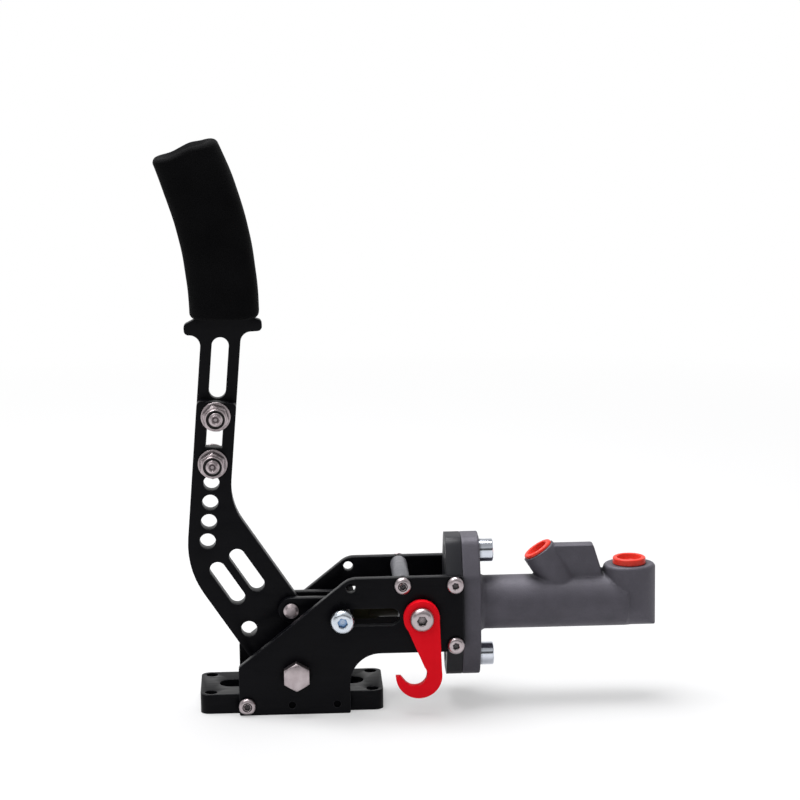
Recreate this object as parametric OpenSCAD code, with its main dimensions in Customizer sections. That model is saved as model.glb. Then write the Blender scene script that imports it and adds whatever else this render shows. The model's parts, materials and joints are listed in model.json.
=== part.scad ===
// Hydraulic parking brake lever on a floor base. A cranked hand lever turns on a
// bolt between two side plates and pushes a link, which drives the pushrod of a
// flange mounted master cylinder. A swing hook catches the crosshead screw and
// holds the lever pulled.
// X runs along the cylinder, Y across the plates and Z up. The origin is the
// middle of the underside of the base. All sizes are in millimetres.

/* [Base] */
// Length of the base block
base_l = 102; // [95:1:130]
// Width of the base block, which sets the gap between the side plates
base_w = 44; // [40:1:60]
// Thickness of the base block
base_t = 11; // [9:0.5:12]
// Corner radius of the base block
base_corner_r = 5; // [2:0.5:7]
// Diameter of the floor bolt holes
floor_hole_d = 7; // [5:0.1:8]
// Distance of the floor holes from the ends of the base
floor_hole_end = 6; // [5:0.5:9]
// Distance of the floor holes from the sides of the base
floor_hole_side = 5; // [4.5:0.5:7]
// Width of the relief slot under the lever hub
relief_w = 14; // [12:0.5:18]
// Distance from the ends of the relief slot to the ends of the base
relief_end = 10.5; // [9.5:0.5:15]

/* [Side plates] */
// Thickness of each side plate
plate_t = 5; // [4:0.5:8]
// Height of the top edge of the plates
plate_h = 76.7; // [74:0.1:84]
// Depth of the arm that carries the cylinder
plate_arm_h = 42.8; // [42:0.2:48]
// Distance of the foot's front edge from the middle of the base
foot_front = 29.3; // [28:0.1:34]
// Distance of the foot's back edge from the middle of the base
foot_back = 32.4; // [28:0.1:36]
// Height of the plate foot at its front edge
foot_h = 27.3; // [24:0.1:32]
// Slope of the plate's front edge
plate_slope = 38.5; // [34:0.5:42]
// Radius of the inner corner under the arm
plate_fillet_r = 17; // [10:1:20]
// Radius of the bend at the top of the slope
plate_bend_r = 12; // [4:1:16]
// Diameter of the spare hole near the bend
spare_hole_d = 5.5; // [4:0.1:6.5]
// Distance of the spare hole below the top edge
spare_hole_drop = 5.2; // [4:0.1:8]
// Height of the crosshead slot in the plates
slot_h = 10; // [9.8:0.1:10.8]
// Right end of the crosshead slot
slot_end_x = 60.5; // [56:0.5:63]

/* [Lever pivot] */
// Distance of the pivot ahead of the middle of the base
pivot_x = 2.7; // [0:0.1:6]
// Height of the pivot above the floor
pivot_z = 22.8; // [21:0.1:24]
// Diameter of the pivot bolt
pivot_d = 10; // [8:0.5:11]
// Width across the flats of the pivot bolt and nut
pivot_af = 14; // [13:0.5:17]
// Wall of the lever's bearing bush
bush_wall = 1.5; // [1:0.1:2.5]
// Diameter of the tubes that centre the lever
tube_d = 17; // [15:0.5:18]

/* [Lever] */
// Thickness of the lever
lever_t = 8; // [6:0.5:10]
// Width of the lower arm of the lever
arm_w = 41.4; // [38:0.2:44]
// Length of the arm from the hub to the elbow
arm_l = 88.3; // [84:0.1:100]
// Lean of the arm from upright
arm_lean = 33.5; // [30:0.5:36]
// Offset of the arm's middle line from the pivot
arm_offset = 1.5; // [1:0.1:4]
// Width of the upper shank
shank_w = 22; // [20:0.5:24]
// Lean of the upper shank from upright
shank_lean = 5; // [2:0.5:8]
// Outer radius of the elbow
elbow_out_r = 50; // [20:1:60]
// Inner radius of the elbow
elbow_in_r = 35; // [10:1:45]
// Radius of the corners round the hub
hub_r = 17.5; // [16:0.1:17.8]
// Diameter of the adjusting holes
adjust_hole_d = 9; // [8.4:0.1:9.6]
// Pitch of the adjusting holes
adjust_pitch = 11.1; // [10.6:0.1:12]
// Number of open adjusting holes
adjust_count = 4; // [2:1:4]
// Width of the two slots in the arm
arm_slot_w = 9; // [6:0.5:10]
// Length of the two slots between their end centres
arm_slot_l = 19; // [10:1:22]
// Spacing of the two slots
arm_slot_pitch = 13.2; // [12:0.2:15]
// Diameter of the lower hole in the arm
arm_hole_d = 9; // [6:0.5:10]

/* [Handle] */
// Thickness of the handle plate
handle_t = 5; // [4:0.5:8]
// Spacing of the two handle bolts
handle_bolt_gap = 26.7; // [26:0.1:28]
// Diameter of the handle bolts
handle_bolt_d = 8; // [6:0.5:8]
// Width of the slots in the handle and the lever window
handle_slot_w = 9.4; // [8.8:0.1:10]
// Length of the upper slot of the handle
upper_slot_l = 34.6; // [20:0.2:36]
// Half the span of the hand guard
guard_half = 21.6; // [20:0.1:26]
// Thickness of the guard at its tips
guard_t = 5.8; // [4:0.1:7]
// Distance of the guard from the elbow
guard_s = 116.6; // [114:0.2:122]
// Offset of the guard's middle from the middle of the shank
guard_offset = 0.8; // [0:0.1:2]
// Tilt of the guard
guard_tilt = 2.5; // [0:0.5:5]
// Width of the tang inside the grip
tang_w = 20; // [16:0.5:22]
// Width of the foam grip
grip_w = 38.4; // [32:0.2:42]
// Thickness of the foam grip
grip_t = 32; // [26:0.5:36]
// Radius of the curve of the grip
grip_bend_r = 210; // [180:5:260]
// Angle that the grip turns through
grip_sweep = 26.5; // [22:0.5:29]
// Slant of the top end of the grip
grip_slant = 9.5; // [0:0.5:12]
// Offset of the grip's middle from the middle of the guard
grip_offset = 1.2; // [0:0.1:2]

/* [Link and pushrod] */
// Distance of the link pin from the pivot
crank_r = 32.2; // [31:0.1:34]
// Angle of the link pin behind upright with the lever at rest
crank_a = 4; // [2:0.5:6]
// Diameter of the link pin
link_pin_d = 6; // [5:0.5:7]
// Length of the link between its holes
link_l = 28; // [26:0.5:30]
// Height of the link arms
link_h = 14; // [13:0.5:16]
// Thickness of each link arm
link_t = 5; // [3:0.5:6]
// Play of the link on the crosshead screw
link_play = 0.75; // [0.6:0.05:1]
// Diameter of the pushrod
rod_d = 8; // [6:0.5:9]
// Diameter of the neck of the rod eye
eye_neck_d = 14; // [12:0.5:16]
// Distance from the crosshead screw to the end of the rod eye
eye_l = 31.8; // [28:0.2:34]
// Diameter of the crosshead screw
catch_d = 8; // [6:0.5:8]
// Diameter of the sleeves that run in the slots
sleeve_d = 9.5; // [9:0.1:9.6]

/* [Master cylinder] */
// Height of the cylinder axis above the floor
axis_z = 54.7; // [54.2:0.1:55.2]
// Left face of the mounting block
block_x = 87; // [86:0.5:92]
// Thickness of the mounting block
block_t = 8.7; // [8.2:0.1:12]
// Thickness of the cylinder flange
flange_t = 10.3; // [8:0.1:13]
// Spacing of the flange screws
flange_span = 60; // [56:0.5:66]
// Radius of the flange lugs
lug_r = 9.7; // [8:0.1:11]
// Outer diameter of the cylinder
cyl_d = 30.2; // [28:0.2:33]
// Bore of the cylinder
bore_d = 19.05; // [17:0.05:20.6]
// Position of the outlet boss
outlet_x = 191.2; // [186:0.1:200]
// Diameter of the outlet boss
outlet_d = 29.4; // [26:0.2:29.6]
// Height of the outlet boss above the axis
outlet_h = 20.5; // [19:0.5:24]
// Lean of the inlet boss from upright
inlet_lean = 33; // [25:1:38]
// Diameter of the inlet boss
inlet_d = 19; // [18:0.2:20]
// Place along the axis where the inlet boss points
inlet_x = 158.9; // [156:0.1:162]
// Length of the inlet boss from the cylinder axis
inlet_l = 34.8; // [32:0.1:37]
// Thickness of the cast web beside the inlet
web_t = 9; // [6:0.5:12]
// Height of the cast web above the axis
web_h = 32.5; // [28:0.5:34]

/* [Hook] */
// Position of the hook's screw
hook_x = 72.3; // [71:0.1:74]
// Thickness of the hook
hook_t = 5; // [4:0.5:6]
// Radius of the hook's eye
hook_eye_r = 10; // [9:0.1:11]
// Distance from the screw down to the middle of the pocket
hook_reach = 31.7; // [30:0.1:34]
// Offset of the pocket's middle from the screw
hook_offset = 4.2; // [3:0.1:5]
// Radius of the pocket
pocket_r = 6.8; // [6:0.1:7.2]
// Width of the hook round the pocket
hook_band = 6.1; // [5:0.1:7]
// Distance from the screw to the hook's straight edge at the pocket
hook_edge = 11; // [10.2:0.1:12]

/* [Hidden] */

$fn = 64;
// Running clearance of pins in their holes, on radius
fit = 0.05;
// Side clearance between parts that slide past each other
side_gap = 0.4;
// Steps of a rounded corner, in degrees
arc_step = 6;
// Thread diameter, head and socket of the small button screws
m5_d = 5;
m5_head_d = 9.5;
m5_head_h = 2.8;
m5_socket = 3.4;
// Head and socket of the larger screws
m8_head_d = 13.2;
m8_head_h = 4.4;
m8_socket = 5;
flange_screw_d = 8;
flange_head_d = 13;
flange_head_h = 8.2;
flange_socket = 6;
// Nuts and washers of the eight millimetre screws
nut_af = 13;
nut_h = 8;
washer_d = 16.4;
washer_t = 1.6;
// Height of the heads of the handle bolts
bolt_head_h = 5.3;
// Dowels between the plates and the base
dowel_d = 4;
dowel_l = 13;
dowel_sink = 0.6;
// Pitch of the dowels and screws along the foot, and their height
foot_pitch = 25;
foot_screw_z = 5.4;
screw_l = 13;

half_gap = base_w / 2;
half_out = half_gap + plate_t;
lever_half = lever_t / 2;
link_in = lever_half + side_gap;
link_out = link_in + link_t;
handle_y0 = lever_half;
handle_y1 = lever_half + handle_t;
handle_mid = (handle_y0 + handle_y1) / 2;
hook_washer_t = 1.2;
hook_y0 = half_out + hook_washer_t;
hook_y1 = hook_y0 + hook_t;
catch_seat = hook_y1 + 0.6;
far_seat = half_out + 0.6;
pivot_head_h = 6.4;
pivot_nut_h = 9;

pivot = [pivot_x, pivot_z];
arm_dir = [sin(arm_lean), -cos(arm_lean)];
arm_norm = [cos(arm_lean), sin(arm_lean)];
shank_dir = [sin(shank_lean), cos(shank_lean)];
shank_norm = [cos(shank_lean), -sin(shank_lean)];
elbow = pivot + arm_norm * arm_offset - arm_dir * arm_l;
link_pin_pos = pivot + crank_r * [-sin(crank_a), cos(crank_a)];
cross_x = link_pin_pos[0] + sqrt(pow(link_l, 2) - pow(link_pin_pos[1] - axis_z, 2));
cross_pos = [cross_x, axis_z];

// Distances along the shank from the elbow
first_hole_s = -2.8;
lower_bolt_s = first_hole_s + adjust_pitch * 4;
upper_bolt_s = lower_bolt_s + handle_bolt_gap;
window_s0 = lower_bolt_s + washer_d / 2 + 0.6;
window_s1 = upper_bolt_s + handle_bolt_d / 2 + side_gap;
lever_top_s = upper_bolt_s + 8;
handle_low_s = lower_bolt_s - 8.6;
hand_slot_s1 = lever_top_s + 0.5;
// The slots in the arm, from the elbow
arm_slot_a = 28.3;
arm_hole_a = 56.8;
arm_hole_n = -11.7;

guard_c = elbow + shank_dir * guard_s + shank_norm * guard_offset;
guard_u = [cos(guard_tilt), sin(guard_tilt)];
guard_v = [-sin(guard_tilt), cos(guard_tilt)];
guard_neck = 5.6;
// Fillet between the shank and the guard
guard_fillet = 6;
grip_base = guard_c + guard_v * guard_neck + guard_u * grip_offset;
grip_a0 = -0.65;
// Where the foam starts and ends round the bend
grip_start = grip_a0 + 0.1;
grip_end = grip_start + grip_sweep;
grip_c = grip_base - grip_bend_r * [cos(grip_a0), sin(grip_a0)];
tang_sweep = grip_sweep - 4;
grip_corner_r = 13;
tang_gap = 0.3;

block_end = block_x + block_t;
flange_end = block_end + flange_t;
block_mid = block_x + block_t / 2;
block_screw_z = 17.2;
tie_x = 62.2;
tie_d = 9.5;
// The tie bar sits under the plates' top edge and clear of the pushrod's nut
tie_drop = 4.4;
tie_clear = 0.6;
tie_z = max(plate_h - tie_drop, axis_z + nut_af / 2 / cos(30) + tie_d / 2 + tie_clear);
tie_pos = [tie_x, tie_z];
bend_x = -foot_front + (plate_h - foot_h) / tan(plate_slope);
slot_x0 = cross_x - sleeve_d / 2 - side_gap;
cyl_r = cyl_d / 2;
bore_r = bore_d / 2;
nose_x = block_x + 0.5;
nose_d = 28.4;
nose_gap = 0.3;
bore_end = outlet_x + 5;
outlet_face = axis_z + outlet_h;
inlet_dir = [-sin(inlet_lean), 0, cos(inlet_lean)];
inlet_face = [inlet_x, 0, axis_z] + inlet_dir * inlet_l;
port_r = 7.1;
port_depth = 9;
inlet_flange_r = 8.9;
outlet_flange_r = 9.5;
// Chamfer of the outlet boss, and how far its foot lies inside the cylinder's skin
boss_edge = 1.2;
boss_step = 0.15;
// Stations along the bore
clip_x = nose_x + 1.5;
clip_t = 1.2;
stop_x = clip_x + clip_t;
stop_t = 1.3;
piston_x = stop_x + stop_t;
piston_end = 142;
piston_r = bore_r - fit;
cup_end = piston_end + 5;
rod_ball_r = 5;
rod_ball_x = piston_x + 8;
rod_start = cross_x + eye_l - 16;
lock_nut_x = cross_x + eye_l;
lock_nut_t = 5;
spring_wire_r = 0.9;
spring_r = 6;
spring_turns = 7;
hook_pos = [hook_x, axis_z];

function unit(v) = v / norm(v);
function flat(p) = [p[0], p[1]];
// Points of one corner, rounded to the radius in its third number
function corner(a, p, b) = p[2] <= 0 ? [flat(p)] :
  let(u = unit(flat(a) - flat(p)), v = unit(flat(b) - flat(p)),
      h = acos(u * v) / 2, c = flat(p) + unit(u + v) * (p[2] / sin(h)),
      s = flat(p) + u * (p[2] / tan(h)) - c, e = flat(p) + v * (p[2] / tan(h)) - c,
      a0 = atan2(s[1], s[0]), d = atan2(e[1], e[0]) - a0,
      turn = d > 180 ? d - 360 : d < -180 ? d + 360 : d,
      n = max(2, ceil(abs(turn) / arc_step)))
  [for (i = [0:n]) c + p[2] * [cos(a0 + turn * i / n), sin(a0 + turn * i / n)]];
// A closed outline from corners given as x, y and radius
function rounded(pts) = let(n = len(pts))
  [for (i = [0:n - 1]) each corner(pts[(i + n - 1) % n], pts[i], pts[(i + 1) % n])];
// Where two lines, each a point and a direction, meet
function meet(p, d, q, e) = p + d * (cross(q - p, e) / cross(d, e));
function with_r(p, r) = [p[0], p[1], r];
function on_shank(s, n) = elbow + shank_dir * s + shank_norm * n;
function on_arm(a, n) = elbow + arm_dir * a + arm_norm * n;

// A plate in the XZ plane between two depths
module slab(y0, y1) {
  translate([0, y1, 0]) rotate([90, 0, 0]) linear_extrude(height = y1 - y0) children();
}
// A round bar along Y through a point of the XZ plane
module bar_y(p, y0, y1, d) {
  translate([p[0], y0, p[1]]) rotate([-90, 0, 0]) cylinder(d = d, h = y1 - y0);
}
// A round bar along X on the cylinder axis
module bar_x(x0, x1, d) {
  translate([x0, 0, axis_z]) rotate([0, 90, 0]) cylinder(d = d, h = x1 - x0);
}
// Puts a screw, drawn along Z with its seat at zero, on a side plate
module near_side(p, depth) {
  translate([p[0], -depth, p[1]]) rotate([90, 0, 0]) children();
}
module far_side(p, depth) {
  translate([p[0], depth, p[1]]) rotate([-90, 0, 0]) children();
}
// A slot with round ends between two end centres
module stadium(a, b, w) {
  u = unit(b - a) * w / 2;
  v = [-u[1], u[0]];
  r = w / 2 - 0.01;
  polygon(rounded([with_r(a - u + v, r), with_r(a - u - v, r), with_r(b + u - v, r), with_r(b + u + v, r)]));
}
module hex(af, h) {
  cylinder(d = af / cos(30), h = h, $fn = 6);
}
module button_screw(d, head_d, head_h, socket, len) {
  difference() {
    union() {
      cylinder(d = head_d, h = head_h * 0.4);
      translate([0, 0, head_h * 0.4]) cylinder(d1 = head_d, d2 = head_d * 0.62, h = head_h * 0.6);
    }
    translate([0, 0, head_h * 0.35]) hex(socket, head_h);
  }
  translate([0, 0, -len]) cylinder(d = d, h = len);
}
module cap_screw(d, head_d, head_h, socket, len) {
  difference() {
    union() {
      cylinder(d = head_d, h = head_h - 0.8);
      translate([0, 0, head_h - 0.8]) cylinder(d1 = head_d, d2 = head_d - 1.6, h = 0.8);
    }
    translate([0, 0, head_h * 0.45]) hex(socket, head_h);
  }
  translate([0, 0, -len]) cylinder(d = d, h = len);
}
// A hexagon nut with a round locking collar
module lock_nut(af, h, d) {
  difference() {
    union() {
      hex(af, h * 0.7);
      cylinder(d = af * 0.9, h = h);
    }
    translate([0, 0, -1]) cylinder(d = d + 2 * fit, h = h + 2);
  }
}
module ring(d_out, d_in, h) {
  difference() {
    cylinder(d = d_out, h = h);
    translate([0, 0, -1]) cylinder(d = d_in, h = h + 2);
  }
}

module base_block() {
  color("#1c1c1e") difference() {
    linear_extrude(height = base_t)
      polygon(rounded([for (p = [[1, 1], [-1, 1], [-1, -1], [1, -1]])
        [p[0] * base_l / 2, p[1] * base_w / 2, base_corner_r]]));
    translate([0, 0, -1]) linear_extrude(height = base_t + 2)
      stadium([-base_l / 2 + relief_end + relief_w / 2, 0],
              [base_l / 2 - relief_end - relief_w / 2, 0], relief_w);
    for (sx = [-1, 1], sy = [-1, 1])
      translate([sx * (base_l / 2 - floor_hole_end), sy * (base_w / 2 - floor_hole_side), -1])
        cylinder(d = floor_hole_d, h = base_t + 2);
    for (x = [-1, 0, 1], s = [-1, 1])
      translate([x * foot_pitch, s * half_gap, foot_screw_z]) rotate([90, 0, 0])
        cylinder(d = (x < 0 ? m5_d : dowel_d) + 2 * fit, h = 2 * screw_l, center = true);
  }
}

module plate_outline() {
  polygon(rounded([
    [-foot_front, 0, 1],
    [foot_back, 0, 1],
    [foot_back, plate_h - plate_arm_h, plate_fillet_r],
    [block_end, plate_h - plate_arm_h, 1.5],
    [block_end, plate_h, 1.5],
    [bend_x, plate_h, plate_bend_r],
    [-foot_front, foot_h, 2]]));
}

module side_plate(y0, y1) {
  color("#1c1c1e") difference() {
    slab(y0, y1) difference() {
      plate_outline();
      stadium([slot_x0 + slot_h / 2, axis_z], [slot_end_x - slot_h / 2, axis_z], slot_h);
    }
    bar_y(pivot, y0 - 1, y1 + 1, pivot_d + 2 * fit);
    bar_y(hook_pos, y0 - 1, y1 + 1, m8_hole());
    bar_y([bend_x + 0.7, plate_h - spare_hole_drop], y0 - 1, y1 + 1, spare_hole_d);
    bar_y(tie_pos, y0 - 1, y1 + 1, m5_d + 2 * fit);
    for (s = [-1, 1])
      bar_y([block_mid, axis_z + s * block_screw_z], y0 - 1, y1 + 1, m5_d + 2 * fit);
    for (x = [-1, 0, 1])
      bar_y([x * foot_pitch, foot_screw_z], y0 - 1, y1 + 1, (x < 0 ? m5_d : dowel_d) + 2 * fit);
  }
}
function m8_hole() = catch_d + 2 * fit;
module near_side_plate() { side_plate(-half_out, -half_gap); }
module far_side_plate() { side_plate(half_gap, half_out); }

module tie_bar() {
  color("#5c5d61") difference() {
    bar_y(tie_pos, -half_gap, half_gap, tie_d);
    for (s = [-1, 1])
      translate([tie_x, s * half_gap, tie_z]) rotate([90, 0, 0])
        cylinder(d = m5_d + 2 * fit, h = 2 * screw_l, center = true);
  }
}

// The outline that the flange and its mounting block share, in the YZ plane
module flange_outline() {
  h = flange_span / 2 + lug_r;
  w = half_gap;
  polygon(rounded([[w, 19, 8], [lug_r, h, lug_r * 0.8], [-lug_r, h, lug_r * 0.8], [-w, 19, 8],
    [-w, -19, 8], [-lug_r, -h, lug_r * 0.8], [lug_r, -h, lug_r * 0.8], [w, -19, 8]]));
}
module flange_plate(x0, x1) {
  translate([x0, 0, axis_z]) rotate([90, 0, 90]) linear_extrude(height = x1 - x0) flange_outline();
}
module flange_holes(x0, x1) {
  for (s = [-1, 1])
    translate([0, 0, s * flange_span / 2]) bar_x(x0 - 1, x1 + 1, flange_screw_d + 2 * fit);
}

module mount_block() {
  color("#303136") difference() {
    flange_plate(block_x, block_end);
    bar_x(block_x - 1, block_end + 1, nose_d + 2 * nose_gap);
    flange_holes(block_x, block_end);
    for (s = [-1, 1], t = [-1, 1])
      translate([block_mid, s * half_gap, axis_z + t * block_screw_z]) rotate([90, 0, 0])
        cylinder(d = m5_d + 2 * fit, h = 2 * block_screw_l(), center = true);
  }
}
function block_screw_l() = 6;

module small_screw(len) { button_screw(m5_d, m5_head_d, m5_head_h, m5_socket, len); }
module base_screws() {
  color("#c9ccd0") {
    near_side([-foot_pitch, foot_screw_z], half_out) small_screw(screw_l + plate_t - 1);
    far_side([-foot_pitch, foot_screw_z], half_out) small_screw(screw_l + plate_t - 1);
  }
}
module base_dowels() {
  color("#2a2a2c") for (x = [0, 1], s = [-1, 1])
    bar_y([x * foot_pitch, foot_screw_z],
      s < 0 ? -half_out + dowel_sink : half_out - dowel_sink - dowel_l,
      s < 0 ? -half_out + dowel_sink + dowel_l : half_out - dowel_sink, dowel_d);
}
module tie_bar_screws() {
  color("#c9ccd0") {
    near_side(tie_pos, half_out) small_screw(screw_l + plate_t - 1);
    far_side(tie_pos, half_out) small_screw(screw_l + plate_t - 1);
  }
}
module block_screws() {
  color("#c9ccd0") for (t = [-1, 1]) {
    near_side([block_mid, axis_z + t * block_screw_z], half_out) small_screw(plate_t + block_screw_l() - 0.5);
    far_side([block_mid, axis_z + t * block_screw_z], half_out) small_screw(plate_t + block_screw_l() - 0.5);
  }
}

module pivot_bolt() {
  color("#c4c6c9") {
    near_side(pivot, half_out) rotate([0, 0, 30]) difference() {
      hex(pivot_af, pivot_head_h);
      translate([0, 0, pivot_head_h - 0.6]) ring(pivot_af * 1.4, pivot_af * 0.94, 1);
    }
    bar_y(pivot, -half_out, half_out + washer_t + pivot_nut_h + 1, pivot_d);
  }
}
module pivot_tubes() {
  color("#9a9ca0") {
    far_side(pivot, lever_half + side_gap / 2)
      ring(tube_d, pivot_d + 2 * fit, half_gap - lever_half - side_gap / 2);
    near_side(pivot, lever_half + side_gap / 2)
      ring(tube_d, pivot_d + 2 * fit, half_gap - lever_half - side_gap / 2);
  }
}
module pivot_washer() {
  color("#b9bbbe") far_side(pivot, half_out) ring(pivot_d * 2, pivot_d + 2 * fit, washer_t);
}
module pivot_nut() {
  color("#b9bbbe") far_side(pivot, half_out + washer_t) lock_nut(pivot_af, pivot_nut_h, pivot_d);
}
module pivot_bush() {
  color("#b08d4a") near_side(pivot, -lever_half) ring(pivot_d + 2 * bush_wall, pivot_d + 2 * fit, lever_t);
}

module lever_outline() {
  sw = shank_w / 2;
  aw = arm_w / 2;
  left = meet(on_shank(0, -sw), shank_dir, on_arm(0, -aw), arm_dir);
  right = meet(on_shank(0, sw), shank_dir, on_arm(0, aw), arm_dir);
  polygon(rounded([
    with_r(on_shank(lever_top_s, sw), 3),
    with_r(on_shank(lever_top_s, -sw), 3),
    with_r(left, elbow_out_r),
    with_r(on_arm(arm_l + hub_r, -aw), hub_r),
    with_r(on_arm(arm_l + hub_r, aw), hub_r),
    with_r(right, elbow_in_r)]));
}
module window_outline() {
  w = handle_slot_w / 2;
  polygon(rounded([with_r(on_shank(window_s1, w), 2), with_r(on_shank(window_s1, -w), 2),
    with_r(on_shank(window_s0, -w), 0.5), with_r(on_shank(window_s0, w), 0.5)]));
}
module lever_arm() {
  color("#1a1a1c") difference() {
    slab(-lever_half, lever_half) difference() {
      lever_outline();
      window_outline();
      for (s = [-1, 1])
        stadium(on_arm(arm_slot_a - arm_slot_l / 2, s * arm_slot_pitch / 2),
                on_arm(arm_slot_a + arm_slot_l / 2, s * arm_slot_pitch / 2), arm_slot_w);
    }
    for (i = [0:adjust_count - 1])
      bar_y(on_shank(first_hole_s + i * adjust_pitch, 0), -lever_t, lever_t, adjust_hole_d);
    bar_y(on_shank(lower_bolt_s, 0), -lever_t, lever_t, handle_bolt_d + 2 * fit);
    bar_y(on_arm(arm_hole_a, arm_hole_n), -lever_t, lever_t, arm_hole_d);
    bar_y(pivot, -lever_t, lever_t, pivot_d + 2 * bush_wall + 2 * fit);
    bar_y(link_pin_pos, -lever_t, lever_t, link_pin_d + 2 * fit);
  }
}

module link_pin() {
  color("#c4c6c9") {
    near_side(link_pin_pos, link_out + side_gap) {
      cylinder(d = link_pin_d * 1.4, h = 1.2);
      translate([0, 0, 1.2]) cylinder(d1 = link_pin_d * 1.4, d2 = link_pin_d * 0.9, h = 1.2);
    }
    difference() {
      bar_y(link_pin_pos, -link_out - side_gap, link_out + side_gap + 2.5, link_pin_d);
      far_side(link_pin_pos, link_out + side_gap) ring(link_pin_d + 2, link_pin_d - 1, 1);
    }
  }
}
module link_pin_clip() {
  color("#77797c") far_side(link_pin_pos, link_out + side_gap + 0.1) difference() {
    ring(link_pin_d * 1.8, link_pin_d - 1 + 2 * fit, 0.8);
    translate([0, -1.6, -1]) cube([link_pin_d * 2, 3.2, 3]);
  }
}

// One of the two handle bolts: its head is on the far side of the handle plate
module handle_bolt(s) {
  p = on_shank(s, 0);
  near = lever_half + washer_t + nut_h + 1.5;
  far_side(p, handle_y1 + washer_t) hex(nut_af, bolt_head_h);
  bar_y(p, -near, handle_y1 + washer_t, handle_bolt_d);
}
module handle_washers(s) {
  far_side(on_shank(s, 0), handle_y1) ring(washer_d, handle_bolt_d + 2 * fit, washer_t);
  near_side(on_shank(s, 0), lever_half) ring(washer_d, handle_bolt_d + 2 * fit, washer_t);
}
module handle_nut(s) {
  near_side(on_shank(s, 0), lever_half + washer_t) lock_nut(nut_af, nut_h, handle_bolt_d);
}
module lower_handle_bolt() { color("#c4c6c9") handle_bolt(lower_bolt_s); }
module lower_handle_washers() { color("#c4c6c9") handle_washers(lower_bolt_s); }
module lower_handle_nut() { color("#c4c6c9") handle_nut(lower_bolt_s); }
module upper_handle_bolt() { color("#c4c6c9") handle_bolt(upper_bolt_s); }
module upper_handle_washers() { color("#c4c6c9") handle_washers(upper_bolt_s); }
module upper_handle_nut() { color("#c4c6c9") handle_nut(upper_bolt_s); }

// A curved bar inside the grip: turns a section about the middle of the bend
module bent(a0, sweep) {
  translate([grip_c[0], handle_mid, grip_c[1]]) rotate([90, 0, 0]) rotate([0, 0, a0])
    rotate_extrude(angle = sweep) translate([grip_bend_r, 0]) children();
}
// A point of the tang, off its middle line and at an angle round the bend
function on_tang(n, a) = grip_c + (grip_bend_r + n) * [cos(a), sin(a)];
module handle_outline() {
  sw = shank_w / 2;
  tw = tang_w / 2;
  under = guard_c - guard_v * guard_t / 2;
  over = guard_c + guard_v * guard_t / 2;
  neck_u = [cos(grip_a0), sin(grip_a0)];
  steps = 10;
  polygon(rounded(concat([
    with_r(on_shank(handle_low_s, -sw), 2),
    with_r(on_shank(handle_low_s, sw), 2),
    with_r(meet(on_shank(0, sw), shank_dir, under, guard_u), guard_fillet),
    with_r(under + guard_u * guard_half, guard_t * 0.45),
    with_r(over + guard_u * guard_half, guard_t * 0.45),
    with_r(grip_base + neck_u * (grip_w / 2 - 4), 1)],
    [for (i = [0:steps - 1]) with_r(on_tang(tw, grip_a0 + tang_sweep * i / steps), 0)],
    [with_r(on_tang(tw, grip_a0 + tang_sweep), 3), with_r(on_tang(-tw, grip_a0 + tang_sweep), 3)],
    [for (i = [steps - 1:-1:0]) with_r(on_tang(-tw, grip_a0 + tang_sweep * i / steps), 0)],
    [with_r(grip_base - neck_u * (grip_w / 2 - 4), 1),
    with_r(over - guard_u * guard_half, guard_t * 0.45),
    with_r(under - guard_u * guard_half, guard_t * 0.45),
    with_r(meet(on_shank(0, -sw), shank_dir, under, guard_u), guard_fillet)])));
}
module handle_plate() {
  w = handle_slot_w;
  color("#161618") slab(handle_y0, handle_y1) difference() {
    handle_outline();
    stadium(on_shank(lower_bolt_s, 0), on_shank(upper_bolt_s, 0), handle_bolt_d + 2 * side_gap);
    stadium(on_shank(hand_slot_s1 + w / 2, 0), on_shank(hand_slot_s1 + upper_slot_l - w / 2, 0), w);
  }
}
module grip_section(extra) {
  w = grip_w / 2 + extra;
  t = grip_t / 2 + extra;
  r = grip_corner_r;
  polygon(rounded([[w, t, r], [-w, t, r], [-w, -t, r], [w, -t, r]]));
}
module foam_grip() {
  top = on_tang(0, grip_end);
  u = grip_w * [cos(grip_end - grip_slant), sin(grip_end - grip_slant)];
  v = [-u[1], u[0]];
  color("#0d0d0e") difference() {
    bent(grip_start, grip_sweep + grip_slant / 5 + 0.1) grip_section(0);
    bent(grip_a0 - 1, tang_sweep + 1.1)
      square([tang_w + 2 * tang_gap, handle_t + 2 * tang_gap], center = true);
    slab(handle_mid - grip_t, handle_mid + grip_t) polygon([top - u, top + u, top + u + v, top - u + v]);
  }
}

module link_shape() {
  difference() {
    stadium(link_pin_pos, cross_pos, link_h);
    translate(link_pin_pos) circle(d = link_pin_d + 2 * fit);
    translate(cross_pos) circle(d = catch_d + 2 * link_play);
  }
}
module link_arms() {
  color("#1a1a1c") {
    slab(-link_out, -link_in) link_shape();
    slab(link_in, link_out) link_shape();
  }
}

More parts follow.
